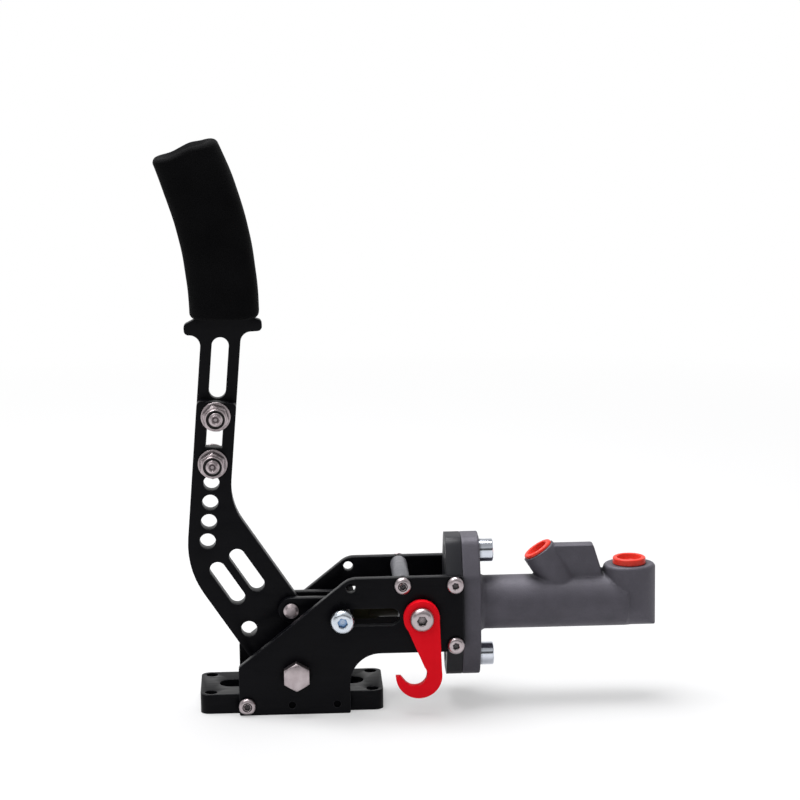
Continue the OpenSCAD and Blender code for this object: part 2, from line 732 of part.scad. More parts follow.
module rod_eye() {
  color("#a8923f") difference() {
    union() {
      slab(-lever_half, lever_half) stadium(cross_pos, cross_pos + [eye_l - 14, 0], link_h);
      bar_x(cross_x + eye_l - 16, cross_x + eye_l, eye_neck_d);
    }
    bar_y(cross_pos, -lever_t, lever_t, catch_d + 2 * fit);
    bar_x(rod_start, cross_x + eye_l + 1, rod_d + 2 * fit);
  }
}
module rod_lock_nut() {
  color("#b9bbbe") translate([lock_nut_x, 0, axis_z]) rotate([0, 90, 0]) difference() {
    hex(nut_af, lock_nut_t);
    translate([0, 0, -1]) cylinder(d = rod_d + 2 * fit, h = lock_nut_t + 2);
  }
}
module pushrod() {
  color("#a8923f") {
    bar_x(rod_start, rod_ball_x, rod_d);
    translate([rod_ball_x, 0, axis_z]) sphere(r = rod_ball_r);
  }
}
module piston() {
  color("#c9c3b2") difference() {
    union() {
      bar_x(piston_x, piston_end, 2 * piston_r);
      bar_x(piston_end, piston_end + 3, 8);
    }
    bar_x(piston_x - 1, rod_ball_x, 2 * rod_ball_r + 4 * fit);
    translate([rod_ball_x, 0, axis_z]) sphere(r = rod_ball_r + 2 * fit);
    translate([piston_x + 20, 0, axis_z]) rotate([0, 90, 0]) ring(bore_d + 2, bore_d - 5, 24);
    translate([piston_x + 15, 0, axis_z]) rotate([0, 90, 0]) ring(bore_d + 2, bore_d - 4, 3);
  }
}
module rear_seal() {
  color("#141414") translate([piston_x + 15.1, 0, axis_z]) rotate([0, 90, 0])
    ring(2 * piston_r, bore_d - 4 + 2 * fit, 2.8);
}
module primary_seal() {
  color("#141414") translate([piston_end + 0.05, 0, axis_z]) rotate([0, 90, 0]) difference() {
    cylinder(r = piston_r, h = cup_end - piston_end);
    translate([0, 0, -1]) cylinder(d = 8 + 2 * fit, h = 20);
    translate([0, 0, 2]) cylinder(r1 = piston_r - 2.4, r2 = piston_r - 0.8, h = 4);
  }
}
function spring_ring(i, n) = let(t = i / n, a = 360 * spring_turns * t,
    x = cup_end - 2.4 + spring_wire_r + t * (bore_end - cup_end + 2.2 - 2 * spring_wire_r))
  [for (k = [0:5]) let(b = 60 * k, r = spring_r + spring_wire_r * cos(b))
    [x + spring_wire_r * sin(b), r * cos(a), axis_z + r * sin(a)]];
module return_spring() {
  n = spring_turns * 16;
  pts = [for (i = [0:n]) each spring_ring(i, n)];
  sides = [for (i = [0:n - 1], k = [0:5]) let(j = (k + 1) % 6)
    [6 * i + k, 6 * i + j, 6 * (i + 1) + j, 6 * (i + 1) + k]];
  color("#8e9094") polyhedron(points = pts,
    faces = concat(sides, [[5, 4, 3, 2, 1, 0]], [[for (k = [0:5]) 6 * n + k]]));
}

module crosshead_screw() {
  color("#c7d4de") {
    near_side(cross_pos, catch_seat) button_screw(catch_d, m8_head_d, m8_head_h, m8_socket, 2);
    bar_y(cross_pos, -catch_seat, far_seat + washer_t + nut_h + 1, catch_d);
  }
}
module catch_sleeve() {
  color("#9ea1a5") near_side(cross_pos, link_out + side_gap)
    ring(sleeve_d, catch_d + 2 * fit, catch_seat - link_out - side_gap);
}
module far_sleeve() {
  color("#9ea1a5") far_side(cross_pos, link_out + side_gap)
    ring(sleeve_d, catch_d + 2 * fit, far_seat - link_out - side_gap);
}
module crosshead_washer() {
  color("#b9bbbe") far_side(cross_pos, far_seat) ring(washer_d, catch_d + 2 * fit, washer_t);
}
module crosshead_nut() {
  color("#b9bbbe") far_side(cross_pos, far_seat + washer_t) lock_nut(nut_af, nut_h, catch_d);
}

module along_inlet() {
  translate([inlet_x, 0, axis_z]) rotate([0, -inlet_lean, 0]) children();
}
module cast_web() {
  top = axis_z + web_h;
  x1 = inlet_x + web_h * 0.36;
  slab(-web_t / 2, web_t / 2)
    polygon(rounded([[inlet_x - 4, axis_z, 0], [x1 + 10, axis_z, 0], [x1, top, 1.5],
      [inlet_x - web_h * 0.36, top, 1.5]]));
}
// The upright outlet boss, whose foot is rounded like the cylinder under it
module outlet_boss() {
  low = axis_z - cyl_r;
  difference() {
    translate([outlet_x, 0, low]) cylinder(d = outlet_d, h = cyl_r + outlet_h - boss_edge);
    difference() {
      translate([outlet_x - outlet_d, -outlet_d, low - 2]) cube([2 * outlet_d, 2 * outlet_d, cyl_r + 2]);
      bar_x(outlet_x - 2 * outlet_d, outlet_x + 2 * outlet_d, cyl_d - 2 * boss_step);
    }
  }
}
module cylinder_body() {
  color("#8a8a8f") difference() {
    union() {
      bar_x(nose_x, block_end + 1, nose_d);
      flange_plate(block_end, flange_end);
      translate([flange_end - 0.5, 0, axis_z]) rotate([0, 90, 0])
        cylinder(d1 = cyl_d + 5, d2 = cyl_d, h = 3);
      bar_x(flange_end - 1, outlet_x, cyl_d);
      outlet_boss();
      translate([outlet_x, 0, outlet_face - boss_edge])
        cylinder(d1 = outlet_d, d2 = outlet_d - 2 * boss_edge, h = boss_edge);
      along_inlet() cylinder(d = inlet_d, h = inlet_l);
      cast_web();
    }
    bar_x(nose_x - 1, bore_end, bore_d);
    translate([clip_x - 0.05, 0, axis_z]) rotate([0, 90, 0]) cylinder(r = bore_r + 0.8, h = clip_t + 0.1);
    flange_holes(block_end, flange_end);
    translate([outlet_x, 0, outlet_face - port_depth]) cylinder(r = port_r + fit, h = port_depth + 1);
    translate([outlet_x, 0, axis_z]) cylinder(d = 5, h = outlet_h);
    along_inlet() {
      translate([0, 0, inlet_l - port_depth]) cylinder(r = port_r + fit, h = port_depth + 1);
      cylinder(d = 4, h = inlet_l);
    }
  }
}
module flange_screws() {
  color("#d2d5d9") for (s = [-1, 1])
    translate([flange_end, 0, axis_z + s * flange_span / 2]) rotate([0, 90, 0])
      cap_screw(flange_screw_d, flange_head_d, flange_head_h, flange_socket, flange_t + block_t - 1);
}
// A push-in port plug: a flanged cup with a sloping rim and an open middle
module port_plug(flange_r, flange_h, rim_h) {
  rim_r = flange_r - 0.4;
  difference() {
    union() {
      cylinder(r = flange_r, h = flange_h);
      translate([0, 0, flange_h - 0.5])
        cylinder(r1 = rim_r, r2 = rim_r - 0.75 * rim_h, h = rim_h + 0.5);
      translate([0, 0, 2 - port_depth]) cylinder(r = port_r, h = port_depth - 1);
    }
    translate([0, 0, 4 - port_depth]) cylinder(r = port_r - 2, h = port_depth + flange_h + rim_h);
  }
}
module inlet_plug() {
  color("#e8452a") along_inlet() translate([0, 0, inlet_l]) port_plug(inlet_flange_r, 1, 0.8);
}
module outlet_plug() {
  color("#e8452a") translate([outlet_x, 0, outlet_face]) port_plug(outlet_flange_r, 1.6, 2.2);
}
module stop_washer() {
  color("#8e9094") translate([stop_x, 0, axis_z]) rotate([0, 90, 0])
    ring(bore_d - 0.3, rod_d + 4, stop_t);
}
module bore_circlip() {
  color("#55575a") translate([clip_x, 0, axis_z]) rotate([0, 90, 0]) difference() {
    ring(bore_d + 1.4, bore_d - 3.2, clip_t);
    translate([-bore_d, -3, -1]) cube([bore_d, 6, 4]);
  }
}

// The hook hangs from its eye, with the screw at the origin
module lock_hook() {
  out_r = pocket_r + hook_band;
  p = [-hook_offset, -hook_reach];
  c = [hook_edge + 0.05 - out_r, -hook_reach - 0.8];
  inner = p[0] + pocket_r;
  tip = [p[0] - pocket_r - 1, p[1] - 1.2];
  top = out_r - hook_reach + 5;
  y0 = -hook_y1;
  y1 = -hook_y0;
  color("#d4141f") translate([hook_pos[0], 0, hook_pos[1]]) difference() {
    union() {
      slab(y0, y1) circle(r = hook_eye_r);
      slab(y0, y1) polygon([[hook_eye_r - 0.1, -1], [hook_edge, c[1]], [inner + 1.5, c[1]],
        [inner - 0.3, p[1] + 1.5], 0.95 * hook_eye_r * [cos(200), sin(200)]]);
      difference() {
        slab(y0, y1) translate(c) circle(r = out_r);
        slab(y0 - 1, y1 + 1) polygon([p, p + pocket_r * [cos(225), sin(225)], tip, [-3 * out_r, tip[1]],
          [-3 * out_r, top], [inner + 0.8, top], [inner + 0.8, p[1]]]);
      }
    }
    bar_y(p, y0 - 1, y1 + 1, 2 * pocket_r);
    bar_y([0, 0], y0 - 1, y1 + 1, shoulder_d() + 2 * fit);
  }
}
function shoulder_d() = 10;
module hook_screw() {
  color("#c4c6c9") {
    near_side(hook_pos, hook_y1 + 0.3) button_screw(shoulder_d(), m8_head_d, m8_head_h, m8_socket, hook_t + 0.3 + hook_washer_t);
    bar_y(hook_pos, -half_out - 0.5, -half_gap + nut_h + 1, catch_d);
  }
}
module hook_washer() {
  color("#e6e4dc") near_side(hook_pos, half_out) ring(washer_d - 1, shoulder_d() + 2 * fit, hook_washer_t - 0.2);
}
module hook_nut() {
  color("#b9bbbe") far_side(hook_pos, -half_gap) lock_nut(nut_af, nut_h, catch_d);
}

base_block();
near_side_plate();
far_side_plate();
tie_bar();
mount_block();
base_screws();
base_dowels();
tie_bar_screws();
block_screws();
pivot_bolt();
pivot_tubes();
pivot_washer();
pivot_nut();
pivot_bush();
lever_arm();
link_pin();
link_pin_clip();
lower_handle_bolt();
lower_handle_washers();
lower_handle_nut();
handle_plate();
foam_grip();
upper_handle_bolt();
upper_handle_washers();
upper_handle_nut();
link_arms();
rod_eye();
rod_lock_nut();
pushrod();
piston();
primary_seal();
rear_seal();
return_spring();
crosshead_screw();
catch_sleeve();
far_sleeve();
crosshead_washer();
crosshead_nut();
cylinder_body();
flange_screws();
inlet_plug();
outlet_plug();
stop_washer();
bore_circlip();
lock_hook();
hook_screw();
hook_washer();
hook_nut();
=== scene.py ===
"""Scene of a hydraulic parking brake lever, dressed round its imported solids.

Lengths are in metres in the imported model's own frame: X runs along the master
cylinder, Y across the side plates and Z up from the floor.
"""

from __future__ import annotations

import json
import logging
import math
from dataclasses import dataclass
from enum import Enum

import bpy
import numpy as np
from mathutils import Matrix, Vector

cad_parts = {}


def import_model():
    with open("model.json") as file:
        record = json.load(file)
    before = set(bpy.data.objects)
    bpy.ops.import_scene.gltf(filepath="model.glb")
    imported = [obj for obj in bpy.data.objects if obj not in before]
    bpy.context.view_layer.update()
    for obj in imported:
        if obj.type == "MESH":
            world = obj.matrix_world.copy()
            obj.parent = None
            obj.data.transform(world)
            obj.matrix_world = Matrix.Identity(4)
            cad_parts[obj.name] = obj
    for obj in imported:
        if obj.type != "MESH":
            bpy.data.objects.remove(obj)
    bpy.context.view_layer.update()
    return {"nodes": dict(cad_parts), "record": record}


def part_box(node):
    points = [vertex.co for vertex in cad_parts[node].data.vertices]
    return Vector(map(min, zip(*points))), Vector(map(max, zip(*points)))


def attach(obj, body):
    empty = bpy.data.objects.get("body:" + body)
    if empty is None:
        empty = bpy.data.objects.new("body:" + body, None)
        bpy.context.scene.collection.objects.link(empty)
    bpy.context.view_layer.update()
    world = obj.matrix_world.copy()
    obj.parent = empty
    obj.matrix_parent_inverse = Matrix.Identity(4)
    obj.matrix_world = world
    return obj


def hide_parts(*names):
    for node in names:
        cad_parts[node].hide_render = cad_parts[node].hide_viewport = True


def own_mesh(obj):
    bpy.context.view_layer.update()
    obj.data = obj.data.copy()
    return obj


LOG = logging.getLogger("parking_brake_lever")
MM = 0.001
FULL_TURN = 2.0 * math.pi
QUARTER_TURN = math.pi / 2.0
SIXTH_TURN = math.pi / 3.0
# A hexagon's corner radius over its half width
CORNER = 1.0 / math.cos(math.pi / 6.0)
# Half width of a hexagon that is too wide to cut a ring
ROUND = 1.0
# Height of the master cylinder's axis
AXIS_Z = 54.7 * MM
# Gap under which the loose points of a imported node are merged
MERGE_GAP = 0.002 * MM
INLET_LEAN = math.radians(33.0)

Colour = tuple[float, float, float]
Point = tuple[float, float, float]
Pair = tuple[float, float]
Socket = bpy.types.NodeSocket


class Body(Enum):
    """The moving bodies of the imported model."""

    FRAME = "frame"
    LEVER = "lever"
    HANDLE = "handle"
    LINK = "link"
    PUSHROD = "pushrod"
    HOOK = "hook"


class Along(Enum):
    """The direction that a turned piece runs in: its axis and two cross directions."""

    CYLINDER = ((1.0, 0.0, 0.0), (0.0, 1.0, 0.0), (0.0, 0.0, 1.0))
    FAR_SIDE = ((0.0, 1.0, 0.0), (0.0, 0.0, 1.0), (1.0, 0.0, 0.0))
    HOOK_SIDE = ((0.0, -1.0, 0.0), (1.0, 0.0, 0.0), (0.0, 0.0, 1.0))
    UP = ((0.0, 0.0, 1.0), (1.0, 0.0, 0.0), (0.0, 1.0, 0.0))
    INLET = (
        (-math.sin(INLET_LEAN), 0.0, math.cos(INLET_LEAN)),
        (0.0, 1.0, 0.0),
        (-math.cos(INLET_LEAN), 0.0, -math.sin(INLET_LEAN)),
    )

    def place(self, origin: Point, local: np.ndarray) -> np.ndarray:
        """Carries points given along and across the axis from an origin into the model's frame."""
        return np.asarray(origin) + local @ np.asarray(self.value)


class Closing(Enum):
    """How the rings of a surface end."""

    POLES = "a point in the middle of the first and last ring"
    LOOP = "the last ring joins the first"


def smooth_step(low: float, high: float, value: np.ndarray) -> np.ndarray:
    """Rises from 0 at low to 1 at high with level ends: t squared times (3 - 2t)."""
    t = np.clip((value - low) / (high - low), 0.0, 1.0)
    return t * t * (3.0 - 2.0 * t)


@dataclass(frozen=True)
class Shell:
    """Points with the quads and triangles that join them."""

    points: np.ndarray
    quads: np.ndarray
    triangles: np.ndarray

    @classmethod
    def from_rings(cls, rings: np.ndarray, closing: Closing = Closing.POLES) -> Shell:
        """Joins each ring to the next with quads, and closes the ends.

        Args:
            rings: Rings as an array of rings by points by three.
            closing: How the ends are closed.

        Returns:
            The closed surface.
        """
        count, sides, _ = rings.shape
        joins = count if closing is Closing.LOOP else count - 1
        row, col = np.meshgrid(np.arange(joins), np.arange(sides), indexing="ij")
        below = (row + 1) % count
        after = (col + 1) % sides
        corners = [row * sides + col, row * sides + after, below * sides + after, below * sides + col]
        quads = np.stack(corners, axis=-1).reshape(-1, 4)
        points = rings.reshape(-1, 3)
        if closing is Closing.LOOP:
            return cls(points, quads, np.empty((0, 3), dtype=int))
        ring = np.arange(sides)
        ring_after = (ring + 1) % sides
        last = (count - 1) * sides
        pole = np.full(sides, count * sides)
        start = np.stack([ring_after, ring, pole], axis=-1)
        end = np.stack([last + ring, last + ring_after, pole + 1], axis=-1)
        points = np.vstack([points, rings[0].mean(axis=0), rings[-1].mean(axis=0)])
        return cls(points, quads, np.vstack([start, end]))


def set_values(thing: bpy.types.bpy_struct, **values: object) -> None:
    """Sets properties of a node, a modifier or an object's data."""
    for key, value in values.items():
        setattr(thing, key, value)


def linked(name: str, data: bpy.types.ID) -> bpy.types.Object:
    """Makes an object of its data and links it to the scene.

    Args:
        name: Name of the object.
        data: Its mesh, camera or light.

    Returns:
        The object.
    """
    obj = bpy.data.objects.new(name, data)
    bpy.context.scene.collection.objects.link(obj)
    return obj


def shade(mesh: bpy.types.Mesh, crease: float) -> None:
    """Shades a mesh smoothly, with its sharp edges kept.

    Args:
        mesh: The mesh.
        crease: Angle in degrees above which an edge stays sharp.
    """
    mesh.polygons.foreach_set("use_smooth", np.ones(len(mesh.polygons), dtype=bool))
    mesh.set_sharp_from_angle(angle=math.radians(crease))
    mesh.update()


def mesh_from_shells(name: str, shells: list[Shell], crease: float = 35.0) -> bpy.types.Object:
    """Makes one object from closed surfaces.

    Args:
        name: Name of the new object.
        shells: The surfaces.
        crease: Angle in degrees above which an edge stays sharp in the shading.

    Returns:
        The object, linked to the scene.
    """
    starts = np.cumsum([0] + [len(shell.points) for shell in shells])
    faces: list[list[int]] = []
    for shell, start in zip(shells, starts):
        faces += (shell.quads + start).tolist()
        faces += (shell.triangles + start).tolist()
    mesh = bpy.data.meshes.new(name)
    mesh.from_pydata(np.vstack([shell.points for shell in shells]).tolist(), [], faces)
    shade(mesh, crease)
    return linked(name, mesh)


def apply_modifiers(obj: bpy.types.Object, crease: float) -> bpy.types.Object:
    """Works an object's modifiers into its mesh and shades it.

    Args:
        obj: The object with its modifiers set.
        crease: Angle in degrees above which an edge stays sharp in the shading.

    Returns:
        The same object, with the worked mesh and no modifiers.
    """
    bpy.context.view_layer.update()
    graph = bpy.context.evaluated_depsgraph_get()
    made = bpy.data.meshes.new_from_object(obj.evaluated_get(graph))
    obj.modifiers.clear()
    obj.data = made
    shade(made, crease)
    return obj


def merged_copy(source: bpy.types.Object, name: str) -> bpy.types.Object:
    """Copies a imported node, with a modifier that merges its loose triangles.

    Args:
        source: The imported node's object.
        name: Name of the copy.

    Returns:
        The copy.
    """
    mesh = source.data.copy()
    mesh.name = name
    obj = linked(name, mesh)
    obj.modifiers.new("merge", "WELD").merge_threshold = MERGE_GAP
    return obj


class Board:
    """Adds and joins the shader nodes of one material."""

    edge_samples = 6
    # Cosines of the turn at which an edge starts and is full
    edge_turn = (0.985, 0.86)
    hollow_samples = 8
    # Share of open light at which the painted shade of a hollow is full and ends
    hollow_light = (0.5, 0.85)

    def __init__(self, name: str) -> None:
        """Starts a material with one Principled shader on its output.

        Args:
            name: Name of the material.
        """
        self.material = bpy.data.materials.new(name)
        self.material.use_nodes = True
        self.tree = self.material.node_tree
        self.tree.nodes.clear()
        self.output = self.add("ShaderNodeOutputMaterial")
        self.shader = self.add("ShaderNodeBsdfPrincipled")
        self.put(self.shader.outputs["BSDF"], self.output.inputs["Surface"])
        self.place = self.add("ShaderNodeTexCoord").outputs["Object"]

    def put(self, value: Socket | float | tuple, target: Socket) -> None:
        """Links an output to an input, or sets the input to a plain value.

        Args:
            value: The output, or the plain value.
            target: The input.
        """
        if isinstance(value, Socket):
            self.tree.links.new(value, target)
        else:
            target.default_value = value

    def add(self, kind: str, inputs: dict | None = None, **settings: object) -> bpy.types.ShaderNode:
        """Adds a node, sets its properties and feeds its inputs.

        Args:
            kind: The type of the node.
            inputs: Outputs and plain values by the name or number of the input.
            **settings: Properties of the node.

        Returns:
            The node.
        """
        node = self.tree.nodes.new(kind)
        set_values(node, **settings)
        for key, value in (inputs or {}).items():
            self.put(value, node.inputs[key])
        return node

    def paint(self, **sockets: Socket | float | tuple) -> None:
        """Feeds the shader's own sockets, with the spaces in a name written as underscores."""
        for name, value in sockets.items():
            self.put(value, self.shader.inputs[name.replace("_", " ")])

    def stretched(self, scale: Point) -> Socket:
        """Object coordinates, scaled by a different amount along each axis."""
        return self.add("ShaderNodeMapping", {"Scale": scale, "Vector": self.place}).outputs["Vector"]

    def noise(
        self, scale: float, detail: float = 3.0, roughness: float = 0.55, vector: Socket | None = None
    ) -> Socket:
        """Cloudy noise from 0 to 1, with scale features in a metre and detail finer layers."""
        inputs = {"Scale": scale, "Detail": detail, "Roughness": roughness, "Vector": vector or self.place}
        return self.add("ShaderNodeTexNoise", inputs).outputs["Fac"]

    def cells(self, scale: float) -> Socket:
        """Distance from the middle of the nearest cell, with scale cells in a metre."""
        return self.add("ShaderNodeTexVoronoi", {"Scale": scale, "Vector": self.place}).outputs["Distance"]

    def span(self, value: Socket, source: Pair, target: Pair = (0.0, 1.0)) -> Socket:
        """Carries a value from its source range to a target range, held at the ends."""
        ends = dict(zip(("From Min", "From Max", "To Min", "To Max"), source + target))
        return self.add("ShaderNodeMapRange", {"Value": value, **ends}).outputs["Result"]

    def math(self, operation: str, left: Socket, right: Socket | float) -> Socket:
        """Works out one sum of two values."""
        return self.add("ShaderNodeMath", {0: left, 1: right}, operation=operation).outputs["Value"]

    def tint(self, share: Socket, first: Colour | Socket, second: Colour) -> Socket:
        """Mixes two colours by a share from 0 to 1.

        Args:
            share: The part of the second colour.
            first: The colour at 0, or a socket that gives it.
            second: The colour at 1.

        Returns:
            The mixed colour.
        """
        node = self.add("ShaderNodeMix", {"Factor": share}, data_type="RGBA")
        at_none, at_full = (socket for socket in node.inputs if socket.type == "RGBA")
        self.put((*first, 1.0) if isinstance(first, tuple) else first, at_none)
        self.put((*second, 1.0), at_full)
        return next(socket for socket in node.outputs if socket.type == "RGBA")

    def soft_edges(self, radius: float) -> Socket:
        """Normals that turn over an edge as a small radius does."""
        return self.add("ShaderNodeBevel", {"Radius": radius}, samples=self.edge_samples).outputs["Normal"]

    def edge_share(self, soft: Socket) -> Socket:
        """1 where the soft normal leaves the face's own, at an edge, and 0 elsewhere.

        Args:
            soft: The soft normal.

        Returns:
            The share.
        """
        face = self.add("ShaderNodeNewGeometry").outputs["Normal"]
        dot = self.add("ShaderNodeVectorMath", {0: soft, 1: face}, operation="DOT_PRODUCT")
        return self.span(dot.outputs["Value"], self.edge_turn)

    def wear_and_highlight_edges(
        self, skin: Socket, pale_edge_colour: Colour, soft: Socket, scale: float, breaks: Pair, share: Pair
    ) -> Socket:
        """Lets a paler colour show along a skin's edges, in runs that noise of a scale breaks up: edge
        wear, and on satin skins a painted highlight too.
        """
        runs = self.span(self.noise(scale), breaks, share)
        return self.tint(self.math("MULTIPLY", self.edge_share(soft), runs), skin, pale_edge_colour)

    def painted_hollow_shade(self, reach: float) -> Socket:
        """How much painted shade a spot gets: 1 deep in a hollow such as a socket or a corner, and 0 on
        open faces.
        """
        node = self.add("ShaderNodeAmbientOcclusion", {"Distance": reach}, samples=self.hollow_samples)
        return self.span(node.outputs["AO"], self.hollow_light, (1.0, 0.0))

    def bump(self, height: Socket, distance: float, strength: float, **under: Socket) -> Socket:
        """Tilts the surface's normal, or the one given as Normal, by a height of a distance at 1."""
        inputs = {"Height": height, "Distance": distance, "Strength": strength, **under}
        return self.add("ShaderNodeBump", inputs).outputs["Normal"]


def around(value: float, spread: Pair) -> Pair:
    """The range that a spread gives below and above a value."""
    return value + spread[0], value + spread[1]


@dataclass(frozen=True)
class Finish:
    """What all finishes share: two colours that meet in soft clouds."""

    name: str
    colour: Colour
    cloud: Colour

    def clouds(self, board: Board, noise: Pair, window: Pair) -> Socket:
        """Mixes the two colours where noise of a scale and detail passes through a window."""
        return board.tint(board.span(board.noise(*noise), window), self.colour, self.cloud)


@dataclass(frozen=True)
class SatinSkin(Finish):
    """A satin skin, anodised or plated: faint rolling grain, and paler edges that are partly wear and
    partly a painted highlight.
    """

    edge: Colour
    roughness: float
    gloss: float
    edge_radius: float = 0.45 * MM
    cloud_noise: Pair = (55.0, 4.0)
    cloud_window: Pair = (0.38, 0.68)
    edge_run_scale: float = 240.0
    edge_run_window: Pair = (0.35, 0.62)
    edge_run_share: Pair = (0.25, 0.95)
    grain_scale: Point = (60.0, 900.0, 900.0)
    grain_window: Pair = (0.3, 0.7)
    grain_spread: Pair = (-0.07, 0.09)
    tooth_scale: float = 2600.0
    tooth_height: float = 0.02 * MM
    tooth_strength: float = 0.35

    def material(self) -> bpy.types.Material:
        """Builds the finish.

        Returns:
            Its material.
        """
        board = Board(self.name)
        soft = board.soft_edges(self.edge_radius)
        skin = self.clouds(board, self.cloud_noise, self.cloud_window)
        grain = board.noise(1.0, 2.0, vector=board.stretched(self.grain_scale))
        tooth = board.noise(self.tooth_scale, 2.0)
        board.paint(
            # Paler edges: partly edge wear, partly a painted highlight where the edges catch the light
            Base_Color=board.wear_and_highlight_edges(
                skin, self.edge, soft, self.edge_run_scale, self.edge_run_window, self.edge_run_share
            ),
            Roughness=board.span(grain, self.grain_window, around(self.roughness, self.grain_spread)),
            Normal=board.bump(tooth, self.tooth_height, self.tooth_strength, Normal=soft),
            Specular_IOR_Level=self.gloss,
        )
        return board.material


@dataclass(frozen=True)
class PlatedMetal(Finish):
    """Bare or plated metal with turning marks, cloudy plating, soft edges and painted shade in sockets and
    recesses.
    """

    hollow: Colour
    roughness: float
    marks: float = 0.012 * MM
    mark_scale: float = 1500.0
    mark_strength: float = 0.4
    edge_radius: float = 0.25 * MM
    hollow_reach: float = 3.2 * MM
    cloud_noise: Pair = (230.0, 4.0)
    cloud_window: Pair = (0.36, 0.66)
    smear_scale: float = 620.0
    smear_window: Pair = (0.3, 0.72)
    smear_spread: Pair = (-0.06, 0.08)

    def material(self) -> bpy.types.Material:
        """Builds the finish.

        Returns:
            Its material.
        """
        board = Board(self.name)
        soft = board.soft_edges(self.edge_radius)
        plating = self.clouds(board, self.cloud_noise, self.cloud_window)
        smear = board.noise(self.smear_scale)
        marks = board.noise(self.mark_scale, 2.0)
        board.paint(
            # Painted shade: the hollow colour darkens sockets, recesses and the ring round each head's
            # foot
            Base_Color=board.tint(board.painted_hollow_shade(self.hollow_reach), plating, self.hollow),
            Roughness=board.span(smear, self.smear_window, around(self.roughness, self.smear_spread)),
            Normal=board.bump(marks, self.marks, self.mark_strength, Normal=soft),
            Metallic=1.0,
        )
        return board.material


@dataclass(frozen=True)
class BlastedCasting(Finish):
    """A blasted aluminium casting: sandy skin, small pits, paler edges and painted shade in recesses and
    creases.
    """

    pale_edge_colour: Colour
    hollow: Colour
    roughness: float
    sheen: float
    gloss: float = 0.35
    edge_radius: float = 0.6 * MM
    hollow_reach: float = 7.0 * MM
    cloud_noise: Pair = (70.0, 5.0)
    cloud_window: Pair = (0.35, 0.68)
    edge_run_scale: float = 300.0
    edge_run_window: Pair = (0.4, 0.6)
    edge_run_share: Pair = (0.0, 0.5)
    sand_noise: Point = (1150.0, 4.0, 0.65)
    sand_window: Pair = (0.3, 0.7)
    sand_spread: Pair = (-0.08, 0.1)
    sand_height: float = 0.1 * MM
    sand_strength: float = 0.7
    pit_scale: float = 620.0
    pit_window: Pair = (0.0, 0.45)
    pit_depth: float = 0.45

    def material(self) -> bpy.types.Material:
        """Builds the finish.

        Returns:
            Its material.
        """
        board = Board(self.name)
        soft = board.soft_edges(self.edge_radius)
        skin = self.clouds(board, self.cloud_noise, self.cloud_window)
        pale = board.wear_and_highlight_edges(skin, self.pale_edge_colour, soft, self.edge_run_scale, self.edge_run_window, self.edge_run_share)
        sand = board.noise(*self.sand_noise)
        pits = board.span(board.cells(self.pit_scale), self.pit_window)
        relief = board.math("ADD", sand, board.math("MULTIPLY", pits, self.pit_depth))
        board.paint(
            # Painted shade: the hollow colour darkens the casting's recesses and creases
            Base_Color=board.tint(board.painted_hollow_shade(self.hollow_reach), pale, self.hollow),
            Roughness=board.span(sand, self.sand_window, around(self.roughness, self.sand_spread)),
            Normal=board.bump(relief, self.sand_height, self.sand_strength, Normal=soft),
            Metallic=self.sheen,
            Specular_IOR_Level=self.gloss,
        )
        return board.material


@dataclass(frozen=True)
class FoamSkin(Finish):
    """Matt closed cell foam: fine open pores on a slightly cloudy black skin."""

    gloss: float = 0.045
    cloud_noise: Pair = (48.0, 5.0)
    cloud_window: Pair = (0.35, 0.7)
    pore_scale: float = 1350.0
    pore_window: Pair = (0.05, 0.5)
    pore_depth: float = 0.6
    pore_roughness: Pair = (0.98, 0.84)
    lump_noise: Point = (420.0, 5.0, 0.7)
    lump_height: float = 0.28 * MM
    lump_strength: float = 0.9

    def material(self) -> bpy.types.Material:
        """Builds the finish.

        Returns:
            Its material.
        """
        board = Board(self.name)
        pores = board.span(board.cells(self.pore_scale), self.pore_window)
        sunk = board.math("MULTIPLY", pores, self.pore_depth)
        relief = board.math("ADD", sunk, board.noise(*self.lump_noise))
        board.paint(
            Base_Color=self.clouds(board, self.cloud_noise, self.cloud_window),
            Roughness=board.span(pores, (0.0, 1.0), self.pore_roughness),
            Normal=board.bump(relief, self.lump_height, self.lump_strength),
            Specular_IOR_Level=self.gloss,
        )
        return board.material


@dataclass(frozen=True)
class MouldedPlastic(Finish):
    """Moulded plastic or rubber: a fine spark finish, cloudy colour and soft edges."""

    roughness: float
    gloss: float
    glow_depth: float = 0.0
    glow_share: float = 0.25
    edge_radius: float = 0.35 * MM
    cloud_noise: Pair = (130.0, 4.0)
    cloud_window: Pair = (0.35, 0.68)
    spark_scale: float = 2100.0
    spark_window: Pair = (0.3, 0.7)
    spark_spread: Pair = (-0.06, 0.08)
    spark_height: float = 0.03 * MM
    spark_strength: float = 0.4

    def material(self) -> bpy.types.Material:
        """Builds the finish.

        Returns:
            Its material.
        """
        board = Board(self.name)
        soft = board.soft_edges(self.edge_radius)
        spark = board.noise(self.spark_scale)
        board.paint(
            Base_Color=self.clouds(board, self.cloud_noise, self.cloud_window),
            Roughness=board.span(spark, self.spark_window, around(self.roughness, self.spark_spread)),
            Normal=board.bump(spark, self.spark_height, self.spark_strength, Normal=soft),
            Specular_IOR_Level=self.gloss,
        )
        if self.glow_depth > 0.0:
            board.paint(Subsurface_Weight=self.glow_share, Subsurface_Scale=self.glow_depth)
        return board.material
